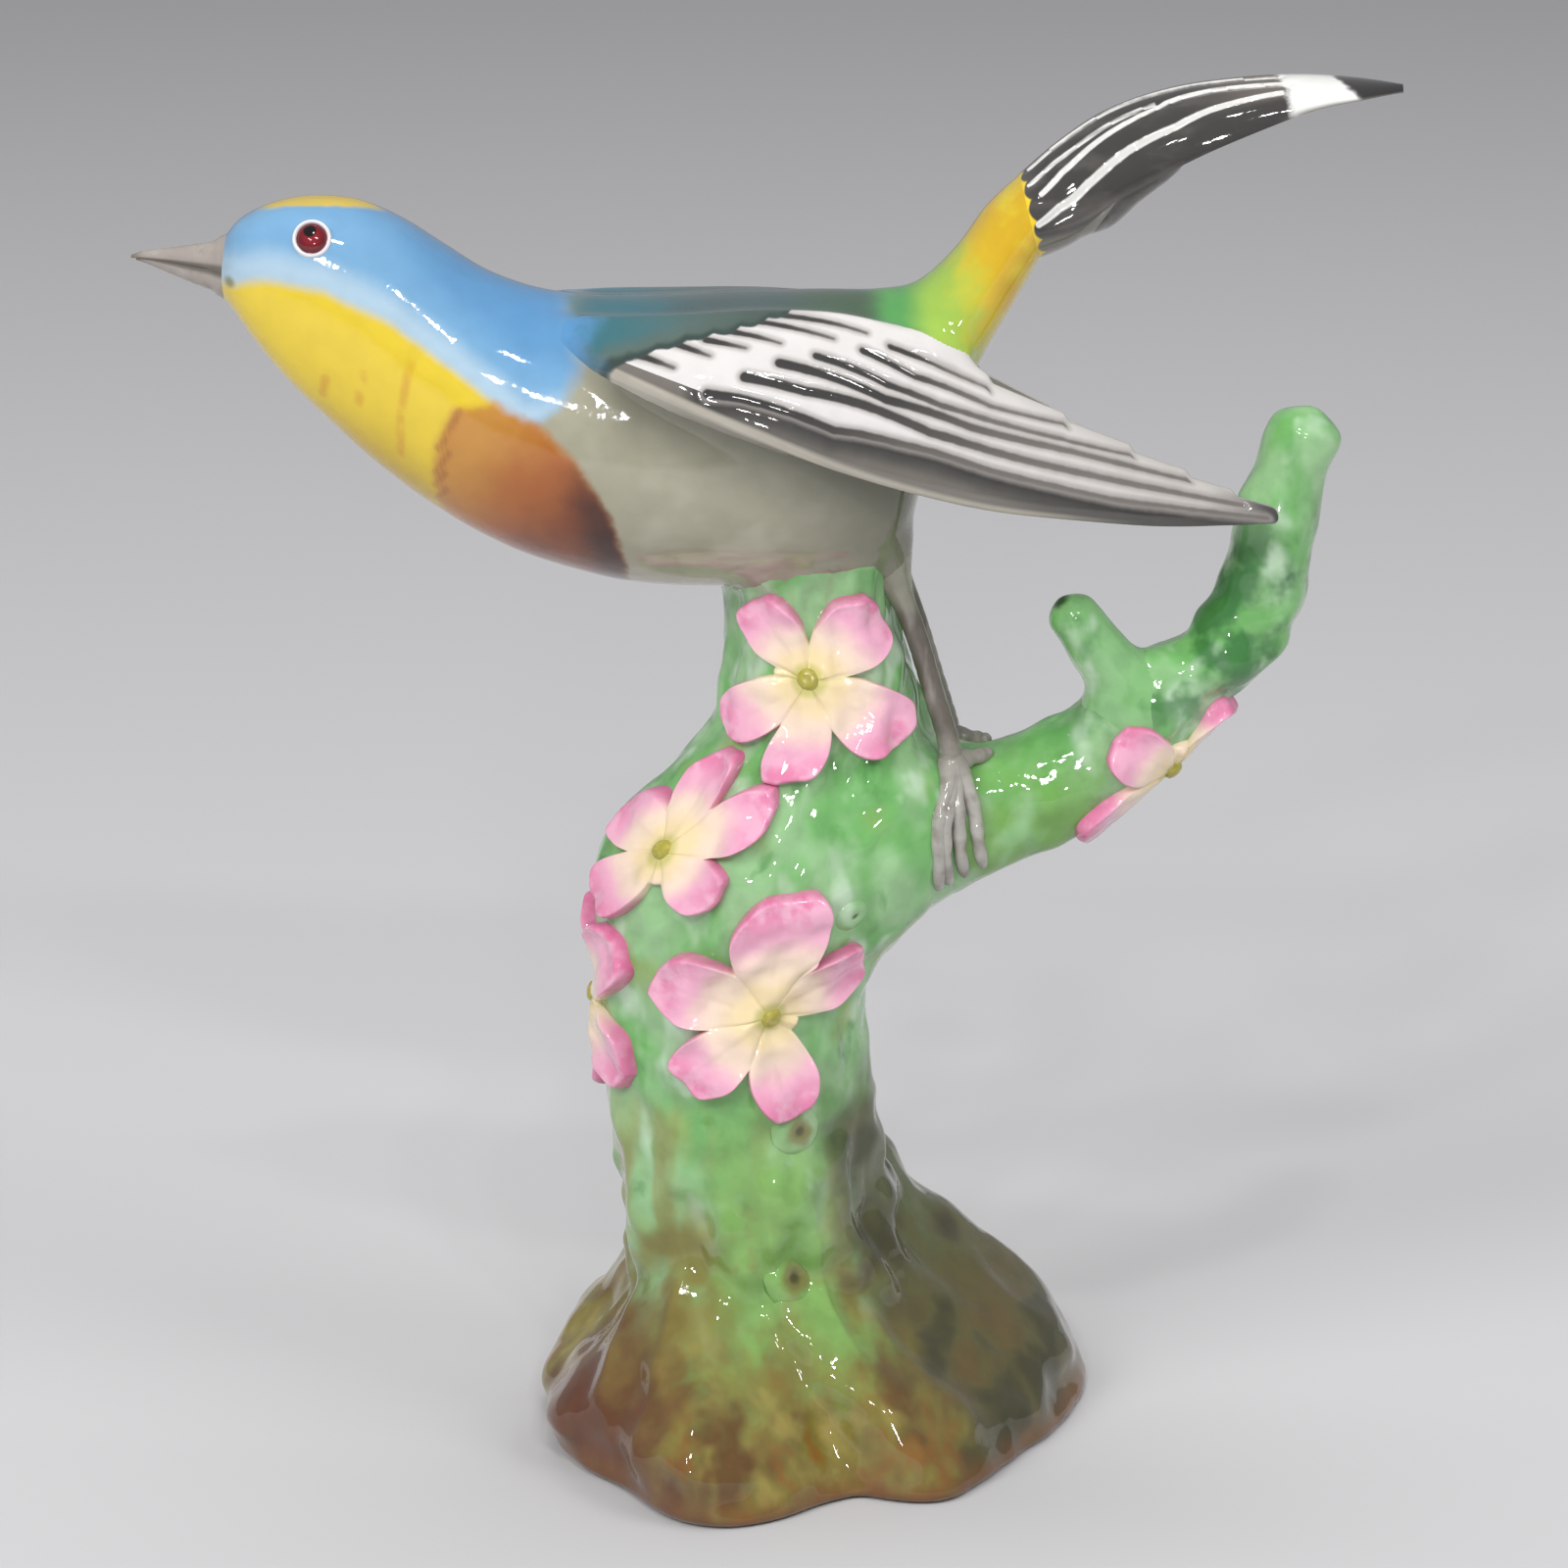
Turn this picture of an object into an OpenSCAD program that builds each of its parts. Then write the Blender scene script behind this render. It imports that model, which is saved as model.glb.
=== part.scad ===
// Porcelain songbird figurine: a hollow-cast bird on a hollow tree stump, with a
// branch and hand-applied blossoms. Every casting and applied piece is its own node.
// Frame: origin at the centre of the resting face, +Z up, the bill towards -X and
// the tail towards +X, the bird's left side towards -Y. Millimetres.

/* [Casting] */
// Wall of the hollow castings
wall = 3.2; // [2.4:0.2:3.6]
// Vent hole through the floor of the base
vent_d = 3.6; // [2.4:0.2:3.8]
// Vent hole between the stump's hollow and the bird's hollow
belly_vent_d = 3; // [2:0.2:3.6]

/* [Bird] */
// Largest half width of the body
body_half_w = 18.6; // [17.4:0.2:19.4]
// Radius of an eye bead
eye_r = 2.35; // [2:0.05:2.6]
// Radius of a leg between body and foot
leg_r = 1.6; // [1.4:0.1:1.8]
// Radius of a toe
toe_r = 1.15; // [0.9:0.05:1.3]
// Downward pitch of the right wing, in degrees
right_wing_pitch = 3.8; // [2.5:0.1:4.2]

/* [Tree] */
// Mean radius of the foot of the base
foot_r = 34; // [33:0.5:35.5]
// Height at which the base casting meets the stump casting
seam_z = 32; // [28:4:36]
// Depth of the ridges along the stump's bark
bark_depth = 0.5; // [0:0.1:0.8]

/* [Blossoms] */
// Thickness of a petal at its middle
petal_t = 1.6; // [1.3:0.1:2]
// Width of a petal as a share of its length
petal_aspect = 0.6; // [0.54:0.02:0.7]
// Radius of the pellet in a blossom's centre
pellet_r = 1.6; // [1.3:0.1:1.9]

/* [Hidden] */

// Facets round the castings
around_stump = 40;
around_bird = 32;
around_branch = 20;
around_toe = 8;
// Height step between the stump's rings
stump_step = 4;
// Heights of the stump's top, well inside the bird, and of its hollow's top
stump_top_z = 122;
stump_hollow_z = 104;

// Bird stations from the bill to the tail:
// [upper x, upper z, lower x, lower z, half width over body_half_w, squareness]
BIRD = [
    [-73.6, 158.6, -74.0, 151.6, 0.18, 2.0],
    [-71.6, 161.0, -72.2, 149.4, 0.33, 2.1],
    [-68.2, 162.8, -69.4, 145.6, 0.44, 2.3],
    [-63.5, 163.8, -65.4, 140.8, 0.52, 2.4],
    [-57.5, 163.5, -59.6, 134.8, 0.58, 2.3],
    [-52.0, 161.3, -54.4, 130.0, 0.64, 2.2],
    [-46.5, 157.8, -48.8, 125.6, 0.71, 2.1],
    [-40.5, 154.2, -42.6, 121.8, 0.79, 2.0],
    [-33.0, 151.8, -34.6, 118.4, 0.90, 2.0],
    [-22.5, 151.2, -23.6, 115.6, 1.00, 2.0],
    [-10.5, 151.8, -11.0, 115.0, 1.00, 2.0],
    [0.0, 152.0, 1.0, 115.2, 0.90, 2.0],
    [7.0, 152.2, 9.4, 117.5, 0.72, 2.0],
    [12.0, 153.2, 13.6, 131.0, 0.56, 2.0],
    [16.6, 157.4, 19.6, 143.0, 0.47, 2.0],
    [20.4, 162.6, 24.0, 151.0, 0.43, 2.0],
    [24.4, 166.5, 27.0, 156.4, 0.42, 2.0]];
// Row numbers of the neck seam, the tail seam and the two ends of the hollow
neck_row = 6;
tail_row = 16;
hollow_front_row = 2;
hollow_back_row = 12;

// Mandibles from the head to the tip: [x, z of the mouth line, height, half width]
UPPER_BILL = [[-72.6, 155.2, 3.3, 3.2], [-76.0, 155.5, 2.5, 2.4], [-80.0, 156.0, 1.5, 1.5],
    [-83.4, 156.3, 0.8, 0.8], [-85.0, 156.3, 0.3, 0.3]];
LOWER_BILL = [[-72.6, 155.2, -3.5, 3.2], [-76.0, 155.5, -2.9, 2.4], [-80.0, 156.0, -1.8, 1.5],
    [-83.0, 156.3, -0.8, 0.8], [-84.4, 156.3, -0.3, 0.3]];
// Centre of the left eye's bead
eye_at = [-61.9, -7.2, 159.8];

// Wing stations from the shoulder to the tip, left side:
// [upper edge x, y, z, lower edge x, y, z, swell outwards, swell inwards]
WING = [
    [-31.5, -7.4, 149.0, -31.2, -10.6, 148.0, 0.6, 1.6],
    [-26.0, -8.0, 149.8, -26.4, -14.6, 145.9, 1.6, 2.2],
    [-16.0, -8.4, 150.4, -16.6, -18.8, 142.0, 2.6, 2.2],
    [-6.0, -8.2, 150.9, -7.6, -20.0, 138.3, 2.9, 2.2],
    [4.0, -8.6, 150.3, 2.2, -19.6, 134.1, 2.8, 1.6],
    [13.4, -9.4, 147.4, 11.6, -18.4, 130.9, 2.5, 0.6],
    [22.6, -9.9, 142.7, 21.2, -17.0, 128.4, 2.2, 0.3],
    [32.0, -10.1, 138.0, 31.4, -15.6, 126.9, 1.9, 0.2],
    [41.0, -10.4, 133.8, 41.4, -14.2, 125.8, 1.6, 0.2],
    [49.2, -10.8, 130.2, 50.0, -13.0, 125.6, 1.2, 0.2],
    [56.0, -11.4, 127.6, 56.5, -12.4, 125.7, 0.7, 0.4]];
// Point in the middle plane about which the right wing is pitched: [x, z]
wing_pivot = [-31, 149];
wing_points = 11;

// Tail stations from the tail seam to the tip:
// [ridge x, ridge z, edge x, edge z, half width, height of the underside over the edge]
TAIL = [
    [24.4, 166.5, 25.7, 161.45, 7.81, -5.22],
    [28.6, 170.4, 31.6, 162.4, 7.2, -3.0],
    [35.0, 174.7, 38.0, 166.0, 7.4, 1.6],
    [42.6, 177.3, 45.2, 170.0, 7.8, 4.2],
    [50.6, 178.5, 52.6, 173.2, 7.4, 3.0],
    [58.6, 178.9, 59.6, 175.6, 6.2, 1.4],
    [65.6, 178.5, 66.0, 176.6, 4.2, 0.2],
    [71.0, 177.8, 71.0, 177.0, 1.0, -0.3]];
// Feathers under the tail: [x, z, half height, half width]
UNDERTAIL = [
    [29.0, 162.6, 1.0, 4.0],
    [33.2, 162.6, 2.8, 5.0],
    [38.0, 166.4, 2.9, 4.2],
    [42.6, 170.2, 2.9, 3.0],
    [45.6, 172.2, 1.2, 1.2]];

// Stump stations: [height, centre x, half width in x, half width in y]
STUMP = [
    [0, 0.0, 24.0, 23.0],
    [10, -3.0, 22.0, 21.0],
    [20, -6.5, 20.0, 19.0],
    [28, -8.2, 18.6, 17.5],
    [36, -9.6, 18.0, 17.0],
    [45, -10.2, 17.2, 16.5],
    [56, -10.9, 16.9, 16.5],
    [64, -10.4, 17.6, 17.0],
    [72, -8.6, 19.6, 18.0],
    [79, -6.6, 20.6, 18.0],
    [85, -4.8, 19.4, 16.4],
    [90, -2.6, 16.8, 14.4],
    [95, -0.8, 13.8, 12.6],
    [100, 0.2, 12.6, 12.0],
    [106, 0.0, 11.6, 11.6],
    [112, -0.8, 10.8, 11.0],
    [122, -0.9, 10.6, 10.8]];
// Lobes of the foot: [direction, half angle, reach beyond foot_r]
FOOT_LOBES = [
    [30, 27, 6.5],
    [118, 22, 3],
    [165, 22, 2.5],
    [205, 18, 3.5],
    [245, 16, 4.6],
    [280, 15, -5.4],
    [325, 24, -3]];
// Height to which the foot's skirt climbs, and how it varies: [direction, half angle, extra]
skirt_z = 26;
SKIRT_RISES = [[48, 34, 27], [185, 30, -6], [250, 30, 3], [300, 25, -3], [110, 30, 3]];
// Share of the skirt's height that stands upright
skirt_upright = 0.2;
// Slip ground off the underside, and the size of the block that grinds it
ground_off = 1;
ground_w = 120;
// Distance of the base's vent from the middle of the foot
vent_x = 9;
bark_ridges = 5;

// Small knots on the stump: [direction, height, radius]
KNOTS = [[297, 46.5, 2.6], [309, 75.5, 2.2], [286, 26, 2.4], [150, 48, 2.8]];

// Branch and twig: [x, y, z, radius]
BRANCH = [
    [2.0, 0, 79.5, 8.2],
    [13.0, 0, 82.0, 8.2],
    [20.5, 0, 84.2, 7.8],
    [30.5, 0, 88.9, 7.3],
    [40.9, 0.4, 96.3, 6.3],
    [48.4, 0.8, 103.7, 5.5],
    [54.6, 1.0, 109.6, 5.9],
    [56.4, 1.2, 116.8, 5.5],
    [57.8, 1.2, 125.4, 5.1],
    [59.6, 1.2, 131.0, 4.9],
    [61.0, 1.2, 134.8, 4.4],
    [61.8, 1.2, 137.0, 2.6]];
TWIG = [
    [41.5, -0.5, 97.0, 5.2],
    [38.6, -2.2, 101.6, 4.4],
    [34.6, -3.2, 107.2, 3.5],
    [31.4, -4.0, 112.0, 3.0],
    [30.2, -4.3, 113.8, 1.9]];

// Leg and toes of the right side: [x, y, z]
LEG = [[8.4, 4.2, 120.5], [9.9, 4.4, 115.0], [12.3, 4.8, 108.5], [14.4, 5.2, 101.5], [16.2, 5.4, 95.5],
    [16.6, 5.4, 93.2]];
TOES = [
    [[16.4, 5.8, 93.0], [14.7, 7.2, 89.6], [13.0, 8.5, 85.4], [12.8, 8.8, 81.4], [13.7, 7.5, 77.4]],
    [[16.5, 6.0, 93.0], [15.8, 7.4, 89.6], [15.0, 8.5, 85.6], [15.1, 8.8, 81.4], [15.9, 7.4, 77.6]],
    [[16.7, 6.0, 93.0], [17.0, 7.4, 89.8], [17.2, 8.5, 86.0], [17.5, 8.7, 82.0], [18.1, 7.4, 78.4]],
    [[16.9, 5.8, 93.0], [18.4, 6.9, 90.4], [19.5, 8.1, 86.8], [20.0, 8.5, 82.8], [20.7, 7.5, 79.4]],
    [[16.8, 5.2, 93.0], [19.0, 4.3, 92.9], [20.8, 3.1, 92.9], [22.0, 2.1, 93.0]]];
// How much thinner a toe grows from one row to the next
toe_taper = 0.1;

// Blossoms: [host, place on it, petal directions, petal lengths], the place being the
// direction and height on the stump, or the row and the angle round the branch
TOP = ["stump", [263, 105.6], [123, 42, 321, 264, 219], [11.6, 13.2, 14.5, 13.6, 13.2]];
FRONT = ["stump", [284, 62.8], [97, 163, 222, 281, 31], [17.0, 16.0, 14.6, 14.6, 12.6]];
SHOULDER = ["stump", [221, 83.2], [30, 93, 163, 228, 334], [14.0, 12.5, 11.5, 12.0, 11.0]];
SIDE = ["stump", [184, 60.3], [48, 120, 190, 262, 318], [13.5, 13.0, 13.5, 13.0, 13.5]];
BACK = ["stump", [80, 66.0], [20, 95, 165, 235, 310], [14.0, 14.5, 14.0, 15.0, 14.0]];
BRANCH_SIDE = ["branch", [3.95, -22], [102, 178, 238, 296, 352], [11.0, 12.5, 11.0, 10.5, 12.5]];
// Petal sections: points round, steps along, and how far from the centre a petal starts
petal_points = 10;
petal_steps = 5;
petal_start = 1.7;
// Height of a petal's underside over the skin, so that it bears only at its root
petal_gap = 0.2;
// Mean distance between the branch's rows where its blossom sits
branch_row_length = 11.6;

function ease(t) = t <= 0 ? 0 : t >= 1 ? 1 : t * t * (3 - 2 * t);
function unit(v) = v / norm(v);
function reversed(list) = [for (i = [len(list) - 1:-1:0]) list[i]];
function hump(a, lobe) = lobe[2] * exp(-pow((abs((a - lobe[0] + 540) % 360 - 180)) / lobe[1], 2));
function humps(a, lobes, i = 0) = i == len(lobes) ? 0 : hump(a, lobes[i]) + humps(a, lobes, i + 1);

// Smooth curve through a table's rows, read at row number t
function row_at(table, t) = let (
    last = len(table) - 1,
    i = max(min(floor(t), last - 1), 0),
    f = t - i,
    a = table[max(i - 1, 0)],
    b = table[i],
    c = table[i + 1],
    d = table[min(i + 2, last)])
    b + (c - a) * f / 2 + (a * 2 - b * 5 + c * 4 - d) * f * f / 2
    + (d - a + (b - c) * 3) * f * f * f / 2;
// Row number at which a table's first column reaches v
function row_of(table, v, i = 0) = i >= len(table) - 2 || v < table[i + 1][0]
    ? i + (v - table[i][0]) / (table[i + 1][0] - table[i][0])
    : row_of(table, v, i + 1);

// Closed solid through rings of equal count, turning right-handed about the way it runs
module loft(rings) {
    n = len(rings[0]);
    m = len(rings);
    ones = [for (i = [1:n]) 1];
    polyhedron(
        points = concat([for (r = rings) each r], [ones * rings[0] / n, ones * rings[m - 1] / n]),
        faces = concat(
            [for (i = [0:n - 1]) [m * n, i, (i + 1) % n]],
            [for (j = [0:m - 2], i = [0:n - 1])
                [j * n + i, (j + 1) * n + i, (j + 1) * n + (i + 1) % n]],
            [for (j = [0:m - 2], i = [0:n - 1])
                [j * n + i, (j + 1) * n + (i + 1) % n, j * n + (i + 1) % n]],
            [for (i = [0:n - 1]) [m * n + 1, (m - 1) * n + (i + 1) % n, (m - 1) * n + i]]),
        convexity = 8);
}

// Solid along a path of [x, y, z, radius] rows
function path_ring(path, t, count) = let (
    step = 0.05,
    last = len(path) - 1,
    here = row_at(path, t),
    ahead = row_at(path, min(t + step, last)) - row_at(path, max(t - step, 0)),
    along = unit([ahead[0], ahead[1], ahead[2]]),
    side = unit(cross([0, 1, 0.001], along)),
    other = cross(along, side))
    [for (i = [0:count - 1]) let (a = 360 * i / count)
        [here[0], here[1], here[2]] + (side * cos(a) + other * sin(a)) * here[3]];
module swept(path, count, step = 0.5)
    loft([for (t = [0:step:len(path) - 0.99]) path_ring(path, t, count)]);

// Joins the booleans of its children into one closed skin
module one_skin() resize([0, 0, 0]) children();

// ---- Stump -----------------------------------------------------------
function skirt_top(a) = skirt_z + humps(a, SKIRT_RISES);
function stump_radius(a, z) = let (
    s = row_at(STUMP, row_of(STUMP, max(z, 0))),
    foot = row_at(STUMP, 0),
    trunk = 1 / norm([cos(a) / s[2], sin(a) / s[3]]),
    at_foot = 1 / norm([cos(a) / foot[2], sin(a) / foot[3]]),
    rise = (z / skirt_top(a) - skirt_upright) / (1 - skirt_upright))
    trunk + (foot_r + humps(a, FOOT_LOBES) - at_foot) * (1 - ease(rise))
    + bark_depth * sin(bark_ridges * a + 3 * z);
// Point at direction a and height z, standing out from the skin
function on_stump(a, z, out = 0) = let (
    s = row_at(STUMP, row_of(STUMP, max(z, 0))),
    r = stump_radius(a, z) + out)
    [s[1] + r * cos(a), r * sin(a), z];
function stump_ring(z, out = 0) =
    [for (i = [0:around_stump - 1]) on_stump(360 * i / around_stump, z, out)];
function stump_rings(from, to) = [for (z = [from:stump_step:to + 0.01]) stump_ring(z)];
// The hollow inside it, from the top down
function hollow_rings(from, to) = concat(
    [for (z = [to:-2 * stump_step:from + stump_step]) stump_ring(z, -wall)],
    [stump_ring(from, -wall)]);

module stump_solid() loft(stump_rings(0, stump_top_z + 2));

// The base is cast a little long and ground flat at z = 0
module base_mound() color("saddlebrown")
    difference() {
        one_skin() loft(concat(
            [stump_ring(-ground_off)],
            stump_rings(stump_step, seam_z),
            hollow_rings(wall, seam_z)));
        translate([-ground_w / 2, -ground_w / 2, -ground_w]) cube(ground_w);
        translate([vent_x, 0, -1]) cylinder(h = 2 * stump_step, d = vent_d, $fn = 32);
    }

module stump_trunk() color("darkseagreen")
    one_skin() difference() {
        loft(concat(hollow_rings(seam_z, stump_hollow_z), stump_rings(seam_z, stump_top_z + 2)));
        bird_solid();
        translate([-2, 0, stump_hollow_z - 2]) cylinder(h = 20, d = belly_vent_d, $fn = 32);
    }

module trunk_knots() color("olivedrab")
    one_skin() difference() {
        for (k = KNOTS)
            translate(on_stump(k[0], k[1], -0.35 * k[2])) scale([1, 1, 1.2]) sphere(r = k[2], $fn = 14);
        stump_solid();
    }

module branch_solid() swept(BRANCH, around_branch);
module branch() color("mediumseagreen")
    one_skin() difference() {
        branch_solid();
        stump_solid();
    }

module twig() color("mediumseagreen")
    one_skin() difference() {
        swept(TWIG, around_branch);
        branch_solid();
    }

// ---- Bird ------------------------------------------------------------
// Ring of the bird at row t, drawn in by inset
function bird_ring(t, inset = 0) = let (
    s = row_at(BIRD, t),
    up = [s[0], 0, s[1]],
    low = [s[2], 0, s[3]],
    tall = unit(up - low) * (norm(up - low) / 2 - inset),
    wide = s[4] * body_half_w - inset,
    p = 2 / s[5])
    [for (i = [0:around_bird - 1]) let (a = 360 * i / around_bird, c = cos(a), q = sin(a))
        (up + low) / 2 + tall * sign(c) * pow(abs(c), p) - [0, wide * sign(q) * pow(abs(q), p), 0]];
function bird_rings(from, to) = [for (t = [from:0.5:to + 0.01]) bird_ring(t)];

module bird_solid() loft(bird_rings(0, tail_row));

module bird_body() color("lightsteelblue")
    one_skin() difference() {
        loft(concat(
            [for (t = [hollow_back_row:-1:neck_row]) bird_ring(t, wall)],
            bird_rings(neck_row, tail_row)));
        translate([-2, 0, stump_hollow_z]) cylinder(h = 20, d = belly_vent_d, $fn = 32);
    }

module bird_head() color("cornflowerblue")
    loft(concat(bird_rings(0, neck_row), [for (t = [neck_row:-1:hollow_front_row]) bird_ring(t, wall)]));

// Half-round rings of a mandible
function bill_rings(table) = [for (t = [0:0.5:len(table) - 0.99]) let (s = row_at(table, t))
    [for (i = [0:12]) let (a = 180 * i / 12) [s[0], s[3] * cos(a), s[1] + s[2] * sin(a)]]];
module upper_mandible() color("gray")
    one_skin() difference() {
        loft(reversed(bill_rings(UPPER_BILL)));
        bird_solid();
    }
module lower_mandible() color("darkgray")
    one_skin() difference() {
        loft(bill_rings(LOWER_BILL));
        bird_solid();
    }

module eye(side) color("firebrick")
    one_skin() difference() {
        translate([eye_at[0], -side * eye_at[1], eye_at[2]]) sphere(r = eye_r, $fn = 22);
        bird_solid();
    }

// Lens-shaped ring between the wing's two edges
function wing_ring(s) = let (
    up = [s[0], s[1], s[2]],
    low = [s[3], s[4], s[5]],
    half = (up - low) / 2,
    out = unit(cross([1, 0, 0], half)))
    [for (i = [0:2 * wing_points - 1]) let (f = 180 * i / wing_points)
        (up + low) / 2 + half * cos(f) + out * sin(f) * (f < 180 ? s[6] : s[7])];
module wing_plate() loft([for (t = [0:0.5:len(WING) - 0.99]) wing_ring(row_at(WING, t))]);

module wing_left() color("white")
    one_skin() difference() {
        wing_plate();
        bird_solid();
    }
module wing_right() color("white")
    one_skin() difference() {
        translate([wing_pivot[0], 0, wing_pivot[1]]) rotate([0, right_wing_pitch, 0])
            translate([-wing_pivot[0], 0, -wing_pivot[1]]) mirror([0, 1, 0]) wing_plate();
        bird_solid();
    }

// Arched ring of the tail, a full ellipse where it meets the body
function tail_ring(s) = let (edge = [s[2], 0, s[3]], rise = [s[0], 0, s[1]] - edge)
    [for (i = [0:around_bird - 1]) let (a = 360 * i / around_bird, c = cos(a))
        edge - [0, s[4] * sin(a), 0] + unit(rise) * (c > 0 ? norm(rise) * c : -s[5] * c)];
module tail_fan() color("dimgray")
    loft([for (t = [0:1 / 3:len(TAIL) - 0.99]) tail_ring(row_at(TAIL, t))]);

function undertail_ring(s) = [for (a = [0:18:342])
    [s[0] - s[2] * cos(a) / 2, -s[3] * sin(a), s[1] + s[2] * cos(a)]];
module undertail_feathers() color("gainsboro")
    one_skin() difference() {
        loft([for (t = [0:0.5:len(UNDERTAIL) - 0.99]) undertail_ring(row_at(UNDERTAIL, t))]);
        tail_fan();
    }

module leg(side) color("darkgray")
    one_skin() difference() {
        swept([for (p = LEG) [p[0], side * p[1], p[2], leg_r]], 12, 0.5);
        bird_solid();
        stump_solid();
        ankle(side);
    }

// Ball that joins the leg to its toes
module ankle(side)
    translate([LEG[5][0], side * LEG[5][1], LEG[5][2] - 0.9]) sphere(r = leg_r + 0.4, $fn = 14);
// Toes spreading from the ankle over the branch
module foot(side) color("darkgray")
    one_skin() difference() {
        union() {
            ankle(side);
            for (toe = TOES) let (
                path = [for (i = [0:len(toe) - 1])
                    [toe[i][0], side * toe[i][1], toe[i][2], toe_r - toe_taper * i]])
                swept(path, around_toe);
        }
        branch_solid();
        stump_solid();
    }

// ---- Blossoms --------------------------------------------------------
// Point at row t and angle a round the branch, standing out from its skin
function on_branch(t, a, out) = let (
    here = row_at(BRANCH, t),
    ahead = row_at(BRANCH, t + 0.05) - row_at(BRANCH, t - 0.05),
    along = unit([ahead[0], ahead[1], ahead[2]]),
    under = unit(cross([0, 1, 0], along)))
    [here[0], here[1], here[2]] + (under * cos(a) + cross(along, under) * sin(a)) * (here[3] + out);
// Point x along and y across a blossom's host from its place
function on_host(site, x, y, out) = site[0] == "stump"
    ? on_stump(site[1][0] + x / stump_radius(site[1][0], site[1][1]) * 180 / PI, site[1][1] + y, out)
    : on_branch(site[1][0] + x / branch_row_length, site[1][1] - y / 7 * 180 / PI, out);
// Ring across a petal of the blossom, spoon-shaped and blunt at its tip
function petal_ring(site, theta, length, t) = let (
    half = petal_aspect * length / 2 * max(pow(sin(180 * pow(t, 1.7)), 0.55), 0.2),
    thick = petal_t / 2 * (0.45 + 0.55 * sin(150 * t + 20)),
    along = petal_start + t * (length - petal_start))
    [for (i = [0:petal_points - 1]) let (
        a = 360 * i / petal_points,
        across = half * cos(a),
        x = along * cos(theta) - across * sin(theta),
        y = along * sin(theta) + across * cos(theta),
        spoon = 0.7 * t * t + 0.8 * t * pow(cos(a), 2))
        on_host(site, x, y, petal_gap + spoon + thick * (1 + sin(a)))];
module petals(site) color("pink")
    one_skin() difference() {
        union() {
            translate(on_host(site, 0, 0, 0)) sphere(r = petal_start + 0.7, $fn = 14);
            for (k = [0:4])
                loft([for (j = [0:petal_steps])
                    petal_ring(site, site[2][k], site[3][k], sin(90 * j / petal_steps))]);
        }
        stump_solid();
        branch_solid();
        pellet_ball(site);
    }
module pellet_ball(site) translate(on_host(site, 0, 0, 1.5)) sphere(r = pellet_r, $fn = 20);
module pellet(site) color("khaki") pellet_ball(site);

base_mound();
stump_trunk();
trunk_knots();
branch();
twig();
bird_body();
bird_head();
upper_mandible();
lower_mandible();
eye(-1);  // eye_left
eye(1);  // eye_right
wing_left();
wing_right();
tail_fan();
undertail_feathers();
leg(-1);  // leg_left
leg(1);  // leg_right
foot(-1);  // foot_left
foot(1);  // foot_right
petals(TOP);  // top_blossom_petals
pellet(TOP);  // top_blossom_centre
petals(FRONT);  // front_blossom_petals
pellet(FRONT);  // front_blossom_centre
petals(SHOULDER);  // shoulder_blossom_petals
pellet(SHOULDER);  // shoulder_blossom_centre
petals(SIDE);  // side_blossom_petals
pellet(SIDE);  // side_blossom_centre
petals(BACK);  // back_blossom_petals
pellet(BACK);  // back_blossom_centre
petals(BRANCH_SIDE);  // branch_blossom_petals
pellet(BRANCH_SIDE);  // branch_blossom_centre
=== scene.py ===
"""Looks of the porcelain songbird figurine: fine skins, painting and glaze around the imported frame.

Every visible piece is modelled here as a smooth closed skin that stands for one CAD node. The tables are in
millimetres, in the frame's own axes (+Z up, the bill towards -X, the bird's left side towards -Y), and are
scaled to metres once, where a piece is added.
"""

import math

import bpy
import numpy as np
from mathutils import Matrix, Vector, noise
from mathutils.bvhtree import BVHTree


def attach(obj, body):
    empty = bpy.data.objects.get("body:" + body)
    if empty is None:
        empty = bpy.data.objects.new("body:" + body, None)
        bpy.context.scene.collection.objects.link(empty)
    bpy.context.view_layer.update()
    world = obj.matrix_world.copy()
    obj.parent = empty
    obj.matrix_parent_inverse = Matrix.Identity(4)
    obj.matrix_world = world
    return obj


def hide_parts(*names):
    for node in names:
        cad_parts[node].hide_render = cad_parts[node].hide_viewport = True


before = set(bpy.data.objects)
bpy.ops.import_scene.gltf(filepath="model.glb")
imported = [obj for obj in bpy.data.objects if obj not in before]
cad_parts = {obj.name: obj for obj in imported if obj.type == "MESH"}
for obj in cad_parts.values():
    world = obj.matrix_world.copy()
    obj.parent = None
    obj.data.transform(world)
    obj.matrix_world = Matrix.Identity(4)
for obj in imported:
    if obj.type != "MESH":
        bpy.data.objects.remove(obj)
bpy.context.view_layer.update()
# Metres in a millimetre
MM = 0.001
# Distance in millimetres that stands for "no painted line near"
FAR = 9.0

# ---- Shape tables, in millimetres ----

BODY_HALF_W = 18.6
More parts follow.
